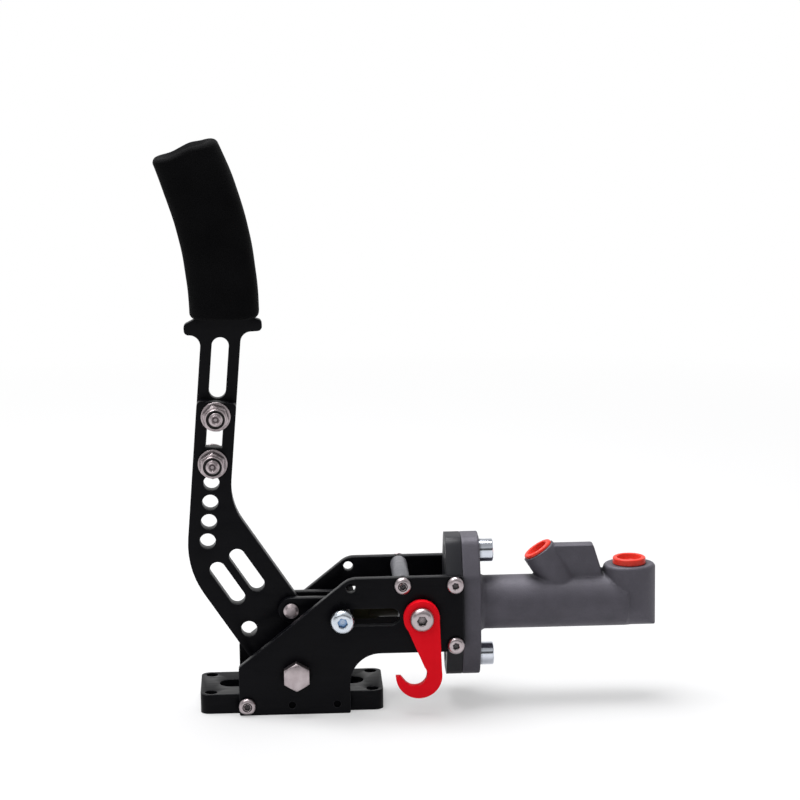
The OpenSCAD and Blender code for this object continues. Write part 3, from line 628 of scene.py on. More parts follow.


# Colour of the painted shade deep in the sockets and recesses of plated metal
DEEP_SHADE = (0.03, 0.028, 0.03)
FINISHES = {
    # A satin skin's third colour is its paler edge colour: partly wear, partly a painted highlight
    "black_anodised": SatinSkin(
        "black anodised plate", (0.002, 0.002, 0.003), (0.0028, 0.0028, 0.004), (0.05, 0.05, 0.056),
        roughness=0.36, gloss=0.075, edge_radius=0.7 * MM,
    ),
    "dark_anodised": SatinSkin(
        "dark grey anodised block", (0.014, 0.0143, 0.0175), (0.018, 0.0183, 0.022), (0.07, 0.07, 0.078),
        roughness=0.45, gloss=0.2,
    ),
    "grey_anodised": SatinSkin(
        "grey anodised bar", (0.085, 0.085, 0.095), (0.1, 0.1, 0.11), (0.16, 0.16, 0.17),
        roughness=0.4, gloss=0.3,
    ),
    "red_anodised": SatinSkin(
        "red anodised plate", (0.74, 0.003, 0.011), (0.79, 0.004, 0.014), (0.82, 0.014, 0.024),
        roughness=0.46, gloss=0.07,
    ),
    "plain_aluminium": PlatedMetal(
        "machined aluminium", (0.36, 0.36, 0.38), (0.44, 0.44, 0.46), DEEP_SHADE, roughness=0.34,
    ),
    "cast_aluminium": BlastedCasting(
        "blasted casting", (0.068, 0.064, 0.079), (0.084, 0.079, 0.097), (0.16, 0.155, 0.178),
        (0.03, 0.029, 0.034), roughness=0.55, sheen=0.3,
    ),
    "stainless": PlatedMetal(
        "stainless screws", (0.43, 0.37, 0.385), (0.52, 0.46, 0.475), DEEP_SHADE, roughness=0.33,
    ),
    "zinc_steel": PlatedMetal(
        "zinc plated steel", (0.14, 0.14, 0.147), (0.18, 0.18, 0.187), DEEP_SHADE, roughness=0.5,
    ),
    "blue_zinc": PlatedMetal(
        "blue white zinc", (0.62, 0.68, 0.75), (0.72, 0.76, 0.82), (0.08, 0.19, 0.38), roughness=0.26,
    ),
    # Yellow zinc darkened far below its own colour: painted shade on the rod eye and thread, which sit in
    # shade between the plates
    "yellow_zinc": SatinSkin(
        "yellow zinc darkened as painted shade", (0.012, 0.0115, 0.005), (0.016, 0.015, 0.007), (0.03, 0.027, 0.012),
        roughness=0.5, gloss=0.1,
    ),
    "black_steel": PlatedMetal(
        "blackened steel", (0.002, 0.002, 0.0024), (0.003, 0.003, 0.0034), (0.001, 0.001, 0.001),
        roughness=0.5,
    ),
    "chrome": PlatedMetal(
        "bright plating", (0.62, 0.65, 0.72), (0.68, 0.71, 0.78), (0.06, 0.065, 0.08),
        roughness=0.12, marks=0.005 * MM,
    ),
    "bronze": PlatedMetal(
        "sintered bronze", (0.4, 0.25, 0.1), (0.47, 0.31, 0.14), DEEP_SHADE,
        roughness=0.42, marks=0.03 * MM,
    ),
    "seal_rubber": MouldedPlastic(
        "seal rubber", (0.012, 0.012, 0.012), (0.018, 0.018, 0.018), roughness=0.6, gloss=0.3,
    ),
    "foam": FoamSkin("grip foam", (0.0022, 0.0022, 0.0025), (0.0036, 0.0036, 0.004)),
    "orange_plastic": MouldedPlastic(
        "orange cap plastic", (0.6, 0.034, 0.02), (0.66, 0.044, 0.026),
        roughness=0.42, gloss=0.2, glow_depth=0.8 * MM,
    ),
    "nylon": MouldedPlastic(
        "natural nylon", (0.62, 0.61, 0.56), (0.68, 0.67, 0.63),
        roughness=0.45, gloss=0.4, glow_depth=0.6 * MM,
    ),
}


class Wardrobe:
    """Makes each finish once and puts it on nodes and pieces."""

    def __init__(self, record: dict) -> None:
        """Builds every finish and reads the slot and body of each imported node.

        Args:
            record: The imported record.
        """
        self.materials = {slot: finish.material() for slot, finish in FINISHES.items()}
        self.slots = {row["node"]: row["material_slot"] for row in record["subparts"]}
        bodies = record["behaviour"]["bodies"]
        self.bodies = {node: Body(body) for body, nodes in bodies.items() for node in nodes}

    def dress(self, obj: bpy.types.Object, slot: str) -> None:
        """Gives an object one finish on all its faces."""
        obj.data.materials.clear()
        obj.data.materials.append(self.materials[slot])

    def dress_nodes(self, nodes: dict) -> None:
        """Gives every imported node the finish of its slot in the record."""
        for node, slot in self.slots.items():
            self.dress(nodes[node], slot)

    def extra(self, obj: bpy.types.Object, slot: str, body: Body) -> bpy.types.Object:
        """Finishes a new piece and ties it to the body that carries it.

        Args:
            obj: The new piece.
            slot: The slot of the record that it takes its finish from.
            body: The body that it moves with.

        Returns:
            The same object.
        """
        self.dress(obj, slot)
        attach(obj, body.value)
        LOG.info("%s: %d faces on %s", obj.name, len(obj.data.polygons), body.value)
        return obj

    def stand_in(self, obj: bpy.types.Object, node: str) -> bpy.types.Object:
        """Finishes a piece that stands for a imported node, on that node's own body.

        Args:
            obj: The new piece.
            node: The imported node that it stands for.

        Returns:
            The same object.
        """
        self.extra(obj, self.slots[node], self.bodies[node])
        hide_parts(node)
        return obj

    def turned(self, node: str, look: str, shells: list[Shell]) -> None:
        """Makes the piece that stands for a node from turned surfaces, and names it after both."""
        self.stand_in(mesh_from_shells(f"{node}_{look}", shells), node)


class Profile:
    """Collects the rings of a turned piece, from its buried end to its open end.

    A ring is the smaller of a circle and a hexagon, less the groove of a thread.
    """

    sides = 72
    rings_in_pitch = 10.0
    least_rings = 8
    lead_in = 0.66
    lead_slope = 0.9
    # Part of the wave from crest to root in which a groove has its wall
    groove_wall = (0.1, 0.9)

    def __init__(self) -> None:
        """Starts with no rings, and with the pitch of a fine thread."""
        self.rows: list[tuple[float, float, float, float]] = []
        self.pitch = MM

    def ring(self, distance: float, circle: float, flat: float = ROUND) -> Profile:
        """Adds a ring by its distance, its circle's radius and its hexagon's half width."""
        self.rows.append((distance, circle, flat, 0.0))
        return self

    def shank(self, steps: tuple[Pair, ...], chamfer: float) -> None:
        """Adds a shank that ends at zero.

        Args:
            steps: Length and radius of each step, from the free end on.
            chamfer: Chamfer of each step.
        """
        start = -sum(length for length, _ in steps)
        self.ring(start, steps[0][1] - chamfer)
        for length, radius in steps:
            self.ring(start + chamfer, radius)
            start += length
            self.ring(start, radius)

    def seat(self, radius: float, ease: float) -> None:
        """Adds the underside of a head, with its edge eased."""
        self.ring(0.0, radius - ease).ring(ease, radius)

    def dome(self, low: float, high: float, foot: float, top: float, steps: int) -> None:
        """Adds a quarter ellipse: the sine lifts it from low to high, the cosine takes foot to top."""
        for turn in np.linspace(0.0, QUARTER_TURN, steps).tolist():
            self.ring(low + (high - low) * math.sin(turn), top + (foot - top) * math.cos(turn))

    def chamfer(self, high: float, drop: float, half: float, face: float, steps: int) -> None:
        """Adds a cone that narrows a hexagon from its corners, a drop below high, to its face."""
        for share in np.linspace(0.0, 1.0, steps).tolist():
            self.ring(high - drop * (1.0 - share), half * CORNER + (face - half * CORNER) * share, half)

    def thread(self, low: float, high: float, radius: float, pitch: float, depth: float) -> None:
        """Adds a run of thread, whose radius leads in on a slope and whose groove fades at the end.

        Args:
            low: Distance of the free end.
            high: Distance of the thread's run out.
            radius: Outer radius.
            pitch: Distance from turn to turn.
            depth: Depth of the groove.
        """
        count = max(int((high - low) / pitch * self.rings_in_pitch), self.least_rings)
        run = np.linspace(low, high, count)
        circle = np.minimum(radius, radius * self.lead_in + self.lead_slope * (run - low))
        groove = depth * smooth_step(high, high - pitch, run)
        self.pitch = pitch
        self.rows += list(zip(run.tolist(), circle.tolist(), [ROUND] * run.size, groove.tolist()))

    def shell(
        self, origin: Point, along: Along, phase: float = 0.0, closing: Closing = Closing.POLES
    ) -> Shell:
        """Turns the rings round the axis, where the groove of a thread moves one pitch in a turn.

        Args:
            origin: The point of the axis where the piece is seated.
            along: The direction of the axis.
            phase: Turn of the hexagon.
            closing: How the ends are closed.

        Returns:
            The closed surface.
        """
        rows = np.asarray(self.rows)
        turn = np.linspace(0.0, FULL_TURN, self.sides, endpoint=False)[None, :]
        distance, circle, flat, groove = (rows[:, i, None] for i in range(4))
        wedge = (turn + phase) % SIXTH_TURN - SIXTH_TURN / 2.0
        radius = np.minimum(circle, flat / np.cos(wedge))
        wave = np.abs(2.0 * ((distance / self.pitch - turn / FULL_TURN) % 1.0) - 1.0)
        radius = radius - groove * smooth_step(*self.groove_wall, wave)
        level = np.broadcast_to(distance, radius.shape)
        local = np.stack([level, radius * np.cos(turn), radius * np.sin(turn)], axis=-1)
        return Shell.from_rings(along.place(origin, local), closing)


@dataclass(frozen=True)
class SocketScrew:
    """A screw with a hexagon socket, seated at zero. The dome and socket are shares of the head."""

    head_radius: float
    head_height: float
    flats: float
    shank: tuple[Pair, ...]
    dome_foot: float = 0.32
    dome_top: float = 0.56
    dome_rings: int = 9
    floor: float = 0.36
    point: float = 0.28
    point_radius: float = 0.3 * MM
    chamfer: float = 0.5 * MM
    ease: float = 0.15 * MM
    lip: float = 0.25 * MM

    def profile(self) -> Profile:
        """Rings up the stepped shank, out under the head, over the dome and down the socket.

        Returns:
            The profile.
        """
        high, wide, half = self.head_height, self.head_radius, self.flats / 2.0
        mouth = half * CORNER + self.ease
        made = Profile()
        made.shank(self.shank, self.chamfer)
        made.seat(wide, self.ease)
        made.dome(high * self.dome_foot, high, wide, wide * self.dome_top, self.dome_rings)
        made.ring(high, mouth).ring(high - self.lip, mouth, half).ring(high * self.floor, mouth, half)
        return made.ring(high * self.point, self.point_radius)


@dataclass(frozen=True)
class HexBolt:
    """A hexagon bolt with a washer face, a chamfered head and thread at its end."""

    flats: float
    head_height: float
    radius: float
    length: float
    thread_length: float
    pitch: float
    groove_share: float = 0.5
    run_out_step: float = 0.1 * MM
    washer_face: float = 0.3 * MM
    face_share: float = 0.94
    face_middle: float = 0.5 * MM
    chamfer_slope: float = math.radians(30.0)
    chamfer_rings: int = 5
    dimple_depth: float = 1.3 * MM
    dimple_share: float = 0.25
    end_share: float = 0.58
    end_step: float = 0.05 * MM

    def profile(self) -> Profile:
        """Rings out of the end's dimple, up the shank, out under the head and over its chamfer.

        Returns:
            The profile.
        """
        half = self.flats / 2.0
        face = self.face_share * half
        cut = (half * CORNER - face) * math.tan(self.chamfer_slope)
        run_out = self.thread_length - self.length
        made = Profile().ring(self.dimple_depth - self.length, self.dimple_share * self.radius)
        made.ring(-self.length - self.end_step, self.radius * self.end_share)
        made.thread(-self.length, run_out, self.radius, self.pitch, self.groove_share * self.pitch)
        made.ring(run_out + self.run_out_step, self.radius).ring(0.0, self.radius)
        made.ring(0.0, face).ring(self.washer_face, face).ring(self.washer_face, half * CORNER, half)
        made.chamfer(self.head_height, cut, half, face, self.chamfer_rings)
        return made.ring(self.head_height, self.face_middle)


@dataclass(frozen=True)
class LockNut:
    """A hexagon lock nut: chamfered hexagon, round collar and a groove that holds the insert."""

    flats: float
    height: float
    bore: float
    insert: float = 1.2 * MM
    seat_share: float = 0.95
    seat_ease: float = 0.5 * MM
    shoulder_share: float = 0.66
    chamfer_share: float = 0.97
    chamfer_drop: float = 0.7 * MM
    chamfer_rings: int = 3
    collar_share: float = 0.9
    collar_step: float = 0.15 * MM
    collar_round: Pair = (1.0 * MM, 0.5 * MM)
    collar_rings: int = 5
    groove: float = 1.5 * MM
    groove_step: float = 0.1 * MM
    insert_depths: Pair = (1.45 * MM, 0.55 * MM)
    insert_gap: float = 0.03 * MM
    insert_ease: float = 0.2 * MM
    insert_round: float = 0.3 * MM
    bore_gap: float = 0.01 * MM

    def profile(self) -> Profile:
        """Rings out over the seat, up the hexagon and collar, and down the bore.

        Returns:
            The profile.
        """
        half, high = self.flats / 2.0, self.height
        collar = self.collar_share * half
        shoulder = self.shoulder_share * high
        outer = self.bore + self.insert
        rise, inset = self.collar_round
        made = Profile().ring(0.0, self.bore).ring(0.0, self.seat_share * half)
        made.ring(self.seat_ease, half * CORNER, half)
        made.chamfer(shoulder, self.chamfer_drop, half, self.chamfer_share * half, self.chamfer_rings)
        made.ring(shoulder + self.collar_step, collar)
        made.dome(high - rise, high, collar, collar - inset, self.collar_rings)
        made.ring(high, outer).ring(high - self.groove, outer)
        return made.ring(high - self.groove - self.groove_step, self.bore)

    def insert_profile(self) -> Profile:
        """Rings round the insert, which grips the screw's thread.

        Returns:
            The profile.
        """
        low, high = (self.height - depth for depth in self.insert_depths)
        outer = self.bore + self.insert - self.insert_gap
        inner = self.bore + self.bore_gap
        made = Profile().ring(low, inner).ring(low, outer).ring(high - self.insert_ease, outer)
        made.ring(high, outer - self.insert_round).ring(high, inner + self.insert_round)
        return made.ring(high - self.insert_round, inner)


@dataclass(frozen=True)
class PortPlug:
    """A moulded plug: a spigot in the port, a flange on the boss and a cupped top."""

    flange: float
    height: float
    cup: float
    cup_floor: float
    spigot: float = 7.0 * MM
    depth: float = 7.0 * MM
    chamfer: float = 0.7 * MM
    ease: float = 0.3 * MM
    draft: float = 0.1 * MM
    rim_rise: float = 0.8 * MM
    rim_inset: float = 0.9 * MM
    rim_rings: int = 7
    mouth_ease: float = 0.5 * MM
    mouth_step: float = 0.15 * MM
    mouth_depth: float = 0.6 * MM
    cup_taper: float = 0.4 * MM
    floor_rise: float = 0.5 * MM
    floor_inset: float = 1.0 * MM
    floor_middle: float = 0.4 * MM

    def profile(self) -> Profile:
        """Rings up the spigot, out under the flange, up its side, over its rim and down the cup.

        Returns:
            The profile.
        """
        high, cup, floor, wide = self.height, self.cup, self.cup_floor, self.flange
        made = Profile()
        made.shank(((self.depth, self.spigot),), self.chamfer)
        made.seat(wide, self.ease)
        made.dome(high - self.rim_rise, high, wide - self.draft, wide - self.rim_inset, self.rim_rings)
        made.ring(high, cup + self.mouth_ease).ring(high - self.mouth_step, cup + self.mouth_step)
        made.ring(high - self.mouth_depth, cup).ring(floor + self.floor_rise, cup - self.cup_taper)
        return made.ring(floor, cup - self.floor_inset).ring(floor, self.floor_middle)


@dataclass(frozen=True)
class Plugs:
    """The two orange plugs of the master cylinder's ports."""

    outlet: PortPlug = PortPlug(flange=9.3 * MM, height=3.7 * MM, cup=6.8 * MM, cup_floor=0.2 * MM)
    inlet: PortPlug = PortPlug(flange=8.6 * MM, height=1.7 * MM, cup=5.8 * MM, cup_floor=-2.6 * MM)
    outlet_foot: Point = (191.2 * MM, 0.0, 75.2 * MM)
    inlet_root: Point = (158.9 * MM, 0.0, AXIS_Z)
    inlet_length: float = 34.8 * MM

    def build(self, wardrobe: Wardrobe) -> None:
        """Turns both plugs and seats them on their bosses.

        Args:
            wardrobe: The wardrobe that finishes them.
        """
        run = np.array([self.inlet_length, 0.0, 0.0])
        inlet_foot = tuple(Along.INLET.place(self.inlet_root, run).tolist())
        for node, plug, foot, along in (
            ("outlet_plug", self.outlet, self.outlet_foot, Along.UP),
            ("inlet_plug", self.inlet, inlet_foot, Along.INLET),
        ):
            wardrobe.turned(node, "cupped", [plug.profile().shell(foot, along)])


@dataclass(frozen=True)
class Fasteners:
    """Turned screws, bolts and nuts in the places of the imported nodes."""

    wardrobe: Wardrobe
    plate_face: float = 27.0 * MM
    small_head: float = 4.75 * MM
    small_height: float = 2.8 * MM
    small_flats: float = 3.4 * MM
    small_radius: float = 2.5 * MM
    small_turns: Pair = (0.3, 0.8)
    small_length: float = 17.0 * MM
    block_length: float = 10.5 * MM
    crosshead_screw: SocketScrew = SocketScrew(6.6 * MM, 4.4 * MM, 5.0 * MM, ((72.0 * MM, 4.0 * MM),))
    crosshead_seat: float = -33.8 * MM
    hook_screw: SocketScrew = SocketScrew(
        6.6 * MM, 4.4 * MM, 5.0 * MM, ((14.0 * MM, 4.0 * MM), (6.5 * MM, 5.0 * MM))
    )
    hook_seat: float = -33.5 * MM
    hook_nut_seat: float = -22.0 * MM
    pivot_bolt: HexBolt = HexBolt(
        flats=14.0 * MM, head_height=6.4 * MM, radius=5.0 * MM, length=65.6 * MM,
        thread_length=16.0 * MM, pitch=1.5 * MM,
    )
    handle_bolt: HexBolt = HexBolt(
        flats=13.0 * MM, head_height=5.3 * MM, radius=4.0 * MM, length=25.7 * MM,
        thread_length=14.0 * MM, pitch=1.25 * MM,
    )
    handle_bolt_seat: float = 10.6 * MM
    handle_nut_seat: float = -5.6 * MM
    crosshead_washer: float = 2.2 * MM
    pivot_washer: float = 1.6 * MM
    small_nut: LockNut = LockNut(flats=13.0 * MM, height=8.0 * MM, bore=4.05 * MM)
    large_nut: LockNut = LockNut(flats=14.0 * MM, height=9.0 * MM, bore=5.05 * MM, insert=0.7 * MM)
    flange_face: float = 106.0 * MM
    flange_turn: float = 0.2
    flange_screw: SocketScrew = SocketScrew(
        6.5 * MM, 8.2 * MM, 6.0 * MM, ((18.0 * MM, 4.0 * MM),), dome_foot=7.3 / 8.2, dome_top=5.6 / 6.5,
        dome_rings=6, floor=0.45, point=3.19 / 8.2, chamfer=0.6 * MM, ease=0.2 * MM, lip=0.3 * MM,
    )
    rod_length: float = 15.0 * MM
    rod_radius: float = 4.12 * MM
    rod_root: float = 3.4 * MM
    rod_pitch: float = 1.25 * MM
    rod_groove: float = 0.5 * MM
    rod_step: float = 0.1 * MM

    def middle(self, node: str) -> Pair:
        """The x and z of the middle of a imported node."""
        low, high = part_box(node)
        return (low.x + high.x) / 2.0, (low.z + high.z) / 2.0

    def small_screws(self) -> None:
        """The button screws of the base, tie bar and mounting block, on both plates."""
        head = self.small_head
        near_turn, far_turn = self.small_turns
        for node, length in (
            ("base_screws", self.small_length),
            ("tie_bar_screws", self.small_length),
            ("block_screws", self.block_length),
        ):
            low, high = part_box(node)
            heights = {round(low.z + head, 5), round(high.z - head, 5)}
            shank = ((length, self.small_radius),)
            screw = SocketScrew(head, self.small_height, self.small_flats, shank).profile()
            x = self.middle(node)[0]
            shells = []
            for turn, z in enumerate(sorted(heights)):
                shells.append(screw.shell((x, -self.plate_face, z), Along.HOOK_SIDE, near_turn + turn))
                shells.append(screw.shell((x, self.plate_face, z), Along.FAR_SIDE, far_turn + turn))
            self.wardrobe.turned(node, "domed", shells)

    def screws_and_bolts(self) -> None:
        """The crosshead screw, the hook's shoulder screw, the pivot bolt and the handle bolts."""
        near, far = Along.HOOK_SIDE, Along.FAR_SIDE
        for node, look, shape, seat, along, phase in (
            ("crosshead_screw", "domed", self.crosshead_screw, self.crosshead_seat, near, 0.2),
            ("hook_screw", "domed", self.hook_screw, self.hook_seat, near, 0.0),
            ("pivot_bolt", "threaded", self.pivot_bolt, -self.plate_face, near, SIXTH_TURN / 2.0),
            ("lower_handle_bolt", "threaded", self.handle_bolt, self.handle_bolt_seat, far, 0.1),
            ("upper_handle_bolt", "threaded", self.handle_bolt, self.handle_bolt_seat, far, 0.45),
        ):
            x, z = self.middle(node)
            self.wardrobe.turned(node, look, [shape.profile().shell((x, seat, z), along, phase)])

    def nuts(self) -> None:
        """The lock nuts, each with its insert as a piece of its own, in near-black rubber that also paints
        the shade in the nut's mouth.
        """
        near, far = Along.HOOK_SIDE, Along.FAR_SIDE
        for node, nut, seat, along, phase in (
            ("lower_handle_nut", self.small_nut, self.handle_nut_seat, near, SIXTH_TURN / 2.0),
            ("upper_handle_nut", self.small_nut, self.handle_nut_seat, near, 0.25),
            ("crosshead_nut", self.small_nut, self.plate_face + self.crosshead_washer, far, 0.1),
            ("hook_nut", self.small_nut, self.hook_nut_seat, far, 0.0),
            ("pivot_nut", self.large_nut, self.plate_face + self.pivot_washer, far, 0.4),
        ):
            x, z = self.middle(node)
            body = nut.profile().shell((x, seat, z), along, phase, Closing.LOOP)
            self.wardrobe.turned(node, "collared", [body])
            ring = nut.insert_profile().shell((x, seat, z), along, 0.0, Closing.LOOP)
            insert = mesh_from_shells(f"{node}_insert", [ring])
            # The insert's near-black rubber also paints the shade in the nut's mouth
            self.wardrobe.extra(insert, "seal_rubber", self.wardrobe.bodies[node])

    def flange_screws(self) -> None:
        """The two bright socket screws of the cylinder's flange."""
        node, head = "flange_screws", self.flange_screw.head_radius
        low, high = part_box(node)
        screw = self.flange_screw.profile()
        seats = [(self.flange_face, 0.0, z) for z in (low.z + head, high.z - head)]
        shells = [screw.shell(seat, Along.CYLINDER, self.flange_turn) for seat in seats]
        self.wardrobe.turned(node, "rounded", shells)

    def pushrod_thread(self) -> None:
        """The thread that shows behind the rod eye's lock nut."""
        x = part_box("rod_lock_nut")[1].x
        z = self.middle("rod_lock_nut")[1]
        made = Profile().ring(0.0, self.rod_root)
        made.thread(0.0, self.rod_length, self.rod_radius, self.rod_pitch, self.rod_groove)
        made.ring(self.rod_length + self.rod_step, self.rod_root)
        thread = mesh_from_shells("pushrod_thread", [made.shell((x, 0.0, z), Along.CYLINDER)])
        self.wardrobe.extra(thread, "yellow_zinc", Body.PUSHROD)

    def build(self) -> None:
        """Makes every fastener."""
        self.small_screws()
        self.screws_and_bolts()
        self.nuts()
        self.flange_screws()
        self.pushrod_thread()


@dataclass(frozen=True)
class EasedPart:
    """A milled part whose sharp edges are eased as a deburring wheel leaves them."""

    node: str
    width: float
    steps: int = 2
    limit: float = math.radians(32.0)
    flatness: float = math.radians(0.4)
    crease: float = 40.0

    def build(self, source: bpy.types.Object) -> bpy.types.Object:
        """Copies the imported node, joins its flat faces and rounds the edges between them.

        Args:
            source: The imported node's object.

        Returns:
            The eased part's object.
        """
        obj = merged_copy(source, f"{self.node}_eased")
        flat = obj.modifiers.new("flat faces", "DECIMATE")
        set_values(flat, decimate_type="DISSOLVE", angle_limit=self.flatness)
        ease = obj.modifiers.new("ease", "BEVEL")
        set_values(ease, width=self.width, segments=self.steps, use_clamp_overlap=True)
        set_values(ease, limit_method="ANGLE", angle_limit=self.limit)
        obj.modifiers.new("even", "TRIANGULATE")
        return apply_modifiers(obj, self.crease)


EASED_PARTS = (
    EasedPart("base_block", 0.6 * MM),
    *(EasedPart(node, 0.4 * MM) for node in ("near_side_plate", "far_side_plate", "tie_bar")),
    EasedPart("mount_block", 0.5 * MM),
    *(EasedPart(node, 0.4 * MM) for node in ("lever_arm", "handle_plate", "link_arms", "rod_eye")),
    EasedPart("rod_lock_nut", 0.3 * MM),
    EasedPart("lock_hook", 0.5 * MM, steps=3),
    *(EasedPart(f"{place}_handle_washers", 0.2 * MM) for place in ("lower", "upper")),
    *(EasedPart(f"{place}_washer", 0.2 * MM) for place in ("pivot", "crosshead")),
)


@dataclass(frozen=True)
class FoamGrip:
    """The foam sleeve that is pulled over the curved tang of the handle."""

    bend_centre: Point = (-242.858 * MM, 6.5 * MM, 221.376 * MM)
    bend_radius: float = 210.0 * MM
    start: float = math.radians(-0.55)
    sweep: float = math.radians(26.5)
    slant: float = math.radians(9.5)
    half_width: float = 19.2 * MM
    half_depth: float = 16.0 * MM
    squareness: float = 3.4
    tang_half_width: float = 10.3 * MM
    tang_half_depth: float = 2.8 * MM
    tang_squareness: float = 9.0
    hole_sweep: float = math.radians(22.8)
    lip: float = 3.0 * MM
    dish: float = 2.8 * MM
    dish_floor: float = 0.45
    tuck: float = 1.6 * MM
    tuck_from: float = 0.75
    rim_from: float = 0.9
    rim_drop: float = 1.8 * MM
    # Start, end and rise of each smooth step across the open end
    rim_steps: tuple[Point, ...] = (
        (-8.0 * MM, -17.0 * MM, 0.8 * MM),
        (-8.0 * MM, 5.0 * MM, 1.9 * MM),
        (5.0 * MM, 11.0 * MM, -0.5 * MM),
    )
    lump_reach: Pair = (8.0 * MM, 14.0 * MM)
    # Height, turns round, run along and shift of each sine of the lumps
    waves: tuple[tuple[float, float, float, float], ...] = (
        (0.07 * MM, 2.0, 5.0, 0.0),
        (0.06 * MM, 3.0, -9.0, 1.0),
        (0.05 * MM, 5.0, 17.0, 0.0),
        (0.04 * MM, 9.0, -31.0, 0.0),
    )
    sides: int = 144
    hole_rings: int = 12
    lip_rings: int = 9
    wall_rings: int = 96
    dish_rings: int = 14
    dish_middle: float = 0.04
    crease: float = 60.0

    def loop(self, half_width: np.ndarray, half_depth: np.ndarray, power: np.ndarray) -> np.ndarray:
        """Superellipse rings: half width times cos and half depth times sin, each to the power 2/n.

        Args:
            half_width: Half the width of each ring.
            half_depth: Half the depth of each ring.
            power: The exponent n of each ring: 2 is an ellipse and more is squarer.

        Returns:
            An array of rings by points by two.
        """
        turn = np.linspace(0.0, FULL_TURN, self.sides, endpoint=False)
        cos, sin = np.cos(turn), np.sin(turn)
        exponent = (2.0 / power)[:, None]
        across = half_width[:, None] * np.sign(cos) * np.abs(cos) ** exponent
        depth = half_depth[:, None] * np.sign(sin) * np.abs(sin) ** exponent
        return np.stack([across, depth], axis=-1)

    def rings(self) -> tuple[np.ndarray, np.ndarray, np.ndarray]:
        """Works out the rings from the blind end of the tang hole to the middle of the top.

        The rings go down inside the hole, out over the foot with a rounded lip, up the
        outside, over the top lip and into a shallow dish.

        Returns:
            The rings in the plane of each section, their distance along the bend, and
            1 for each ring outside the hole.
        """
        length = self.sweep * self.bend_radius
        lip_turn = np.linspace(0.0, QUARTER_TURN, self.lip_rings)
        wall = np.linspace(self.lip, length - self.lip, self.wall_rings)[1:-1]
        inner = np.linspace(self.hole_sweep * self.bend_radius, 0.0, self.hole_rings)
        sunk = self.lip * (1.0 - np.sin(lip_turn))
        bulged = self.lip * (1.0 - np.cos(lip_turn))
        share = np.linspace(1.0, self.dish_middle, self.dish_rings)[1:]
        dip = length - self.dish * smooth_step(1.0, self.dish_floor, share)
        along = np.concatenate([inner, bulged, wall, length - sunk, dip])

        def spread(hole: float, half: float) -> np.ndarray:
            """Half widths of all rings, from the hole's half width and the sleeve's."""
            walls, top = np.full(wall.size, half), (half - self.lip) * share
            return np.concatenate([np.full(inner.size, hole), half - sunk, walls, half - bulged, top])

        width = spread(self.tang_half_width, self.half_width)
        depth = spread(self.tang_half_depth, self.half_depth)
        outside = (np.arange(along.size) >= inner.size).astype(float)
        power = np.where(outside > 0.0, self.squareness, self.tang_squareness)
        return self.loop(width, depth, power), along, outside

    def sag(self, across: np.ndarray) -> np.ndarray:
        """How far the open end stands up, which sags on its inner side and peaks past the middle."""
        rises = (rise * smooth_step(start, end, across) for start, end, rise in self.rim_steps)
        return sum(rises) - self.rim_drop

    def lumps(self, run: np.ndarray) -> np.ndarray:
        """The slow lumps of hand stretched foam: a sum of sines round and along the grip."""
        turn = np.linspace(0.0, FULL_TURN, self.sides, endpoint=False)[None, :]
        return sum(size * np.sin(a * turn + b * run + shift) for size, a, b, shift in self.waves)

    def build(self) -> bpy.types.Object:
        """Bends the rings round the middle of the bend and slants the top.

        Returns:
            The grip's object.
        """
        ring, along, outside = self.rings()
        outside = outside[:, None]
        run = (along / (self.sweep * self.bend_radius))[:, None]
        size = np.hypot(ring[..., 0], ring[..., 1])
        swelling = self.lumps(run) * outside * smooth_step(*self.lump_reach, size)
        ring = ring * (1.0 + swelling / size)[..., None]
        inner_side = np.clip(-ring[..., 0] / self.half_width, 0.0, 1.0) * outside
        ring[..., 0] += self.tuck * inner_side * smooth_step(self.tuck_from, 1.0, run)
        rim = self.sag(ring[..., 0]) * smooth_step(self.rim_from, 1.0, run)
        slide = (rim - ring[..., 0] * math.tan(self.slant) * run) * outside
        angle = self.start + (along[:, None] + slide) / self.bend_radius
        radial = self.bend_radius + ring[..., 0]
        bent = np.stack([radial * np.cos(angle), ring[..., 1], radial * np.sin(angle)], axis=-1)
        points = np.asarray(self.bend_centre) + bent
        return mesh_from_shells("foam_sleeve", [Shell.from_rings(points)], self.crease)


@dataclass(frozen=True)
class ReturnSpring:
    """The coil spring in the bore, at one fixed length."""

    start: float = 145.5 * MM
    end: float = 195.1 * MM
    coil_radius: float = 6.0 * MM
    wire_radius: float = 0.9 * MM
    turns: int = 7
    steps_in_turn: int = 36
    closed_ends: float = 0.3
    sides: int = 12
    crease: float = 60.0
    keep: float = 0.74

    def build(self) -> bpy.types.Object:
        """Carries the wire's circle along a helix whose end turns lie closer.

        Returns:
            The coil's object.
        """
        share = np.linspace(0.0, 1.0, self.turns * self.steps_in_turn)[:, None]
        angle = FULL_TURN * self.turns * share
        eased = (1.0 - self.closed_ends) * share + self.closed_ends * smooth_step(0.0, 1.0, share)
        turn = np.linspace(0.0, FULL_TURN, self.sides, endpoint=False)[None, :]
        out = self.coil_radius + self.wire_radius * np.sin(turn)
        level = self.start + (self.end - self.start) * eased + self.wire_radius * np.cos(turn)
        points = np.stack([level, out * np.cos(angle), AXIS_Z + out * np.sin(angle)], axis=-1)
        return mesh_from_shells("return_coil", [Shell.from_rings(points)], self.crease)

    def shorten(self, coil: bpy.types.Object) -> None:
        """Gives the coil a mesh of its own."""
        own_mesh(coil)


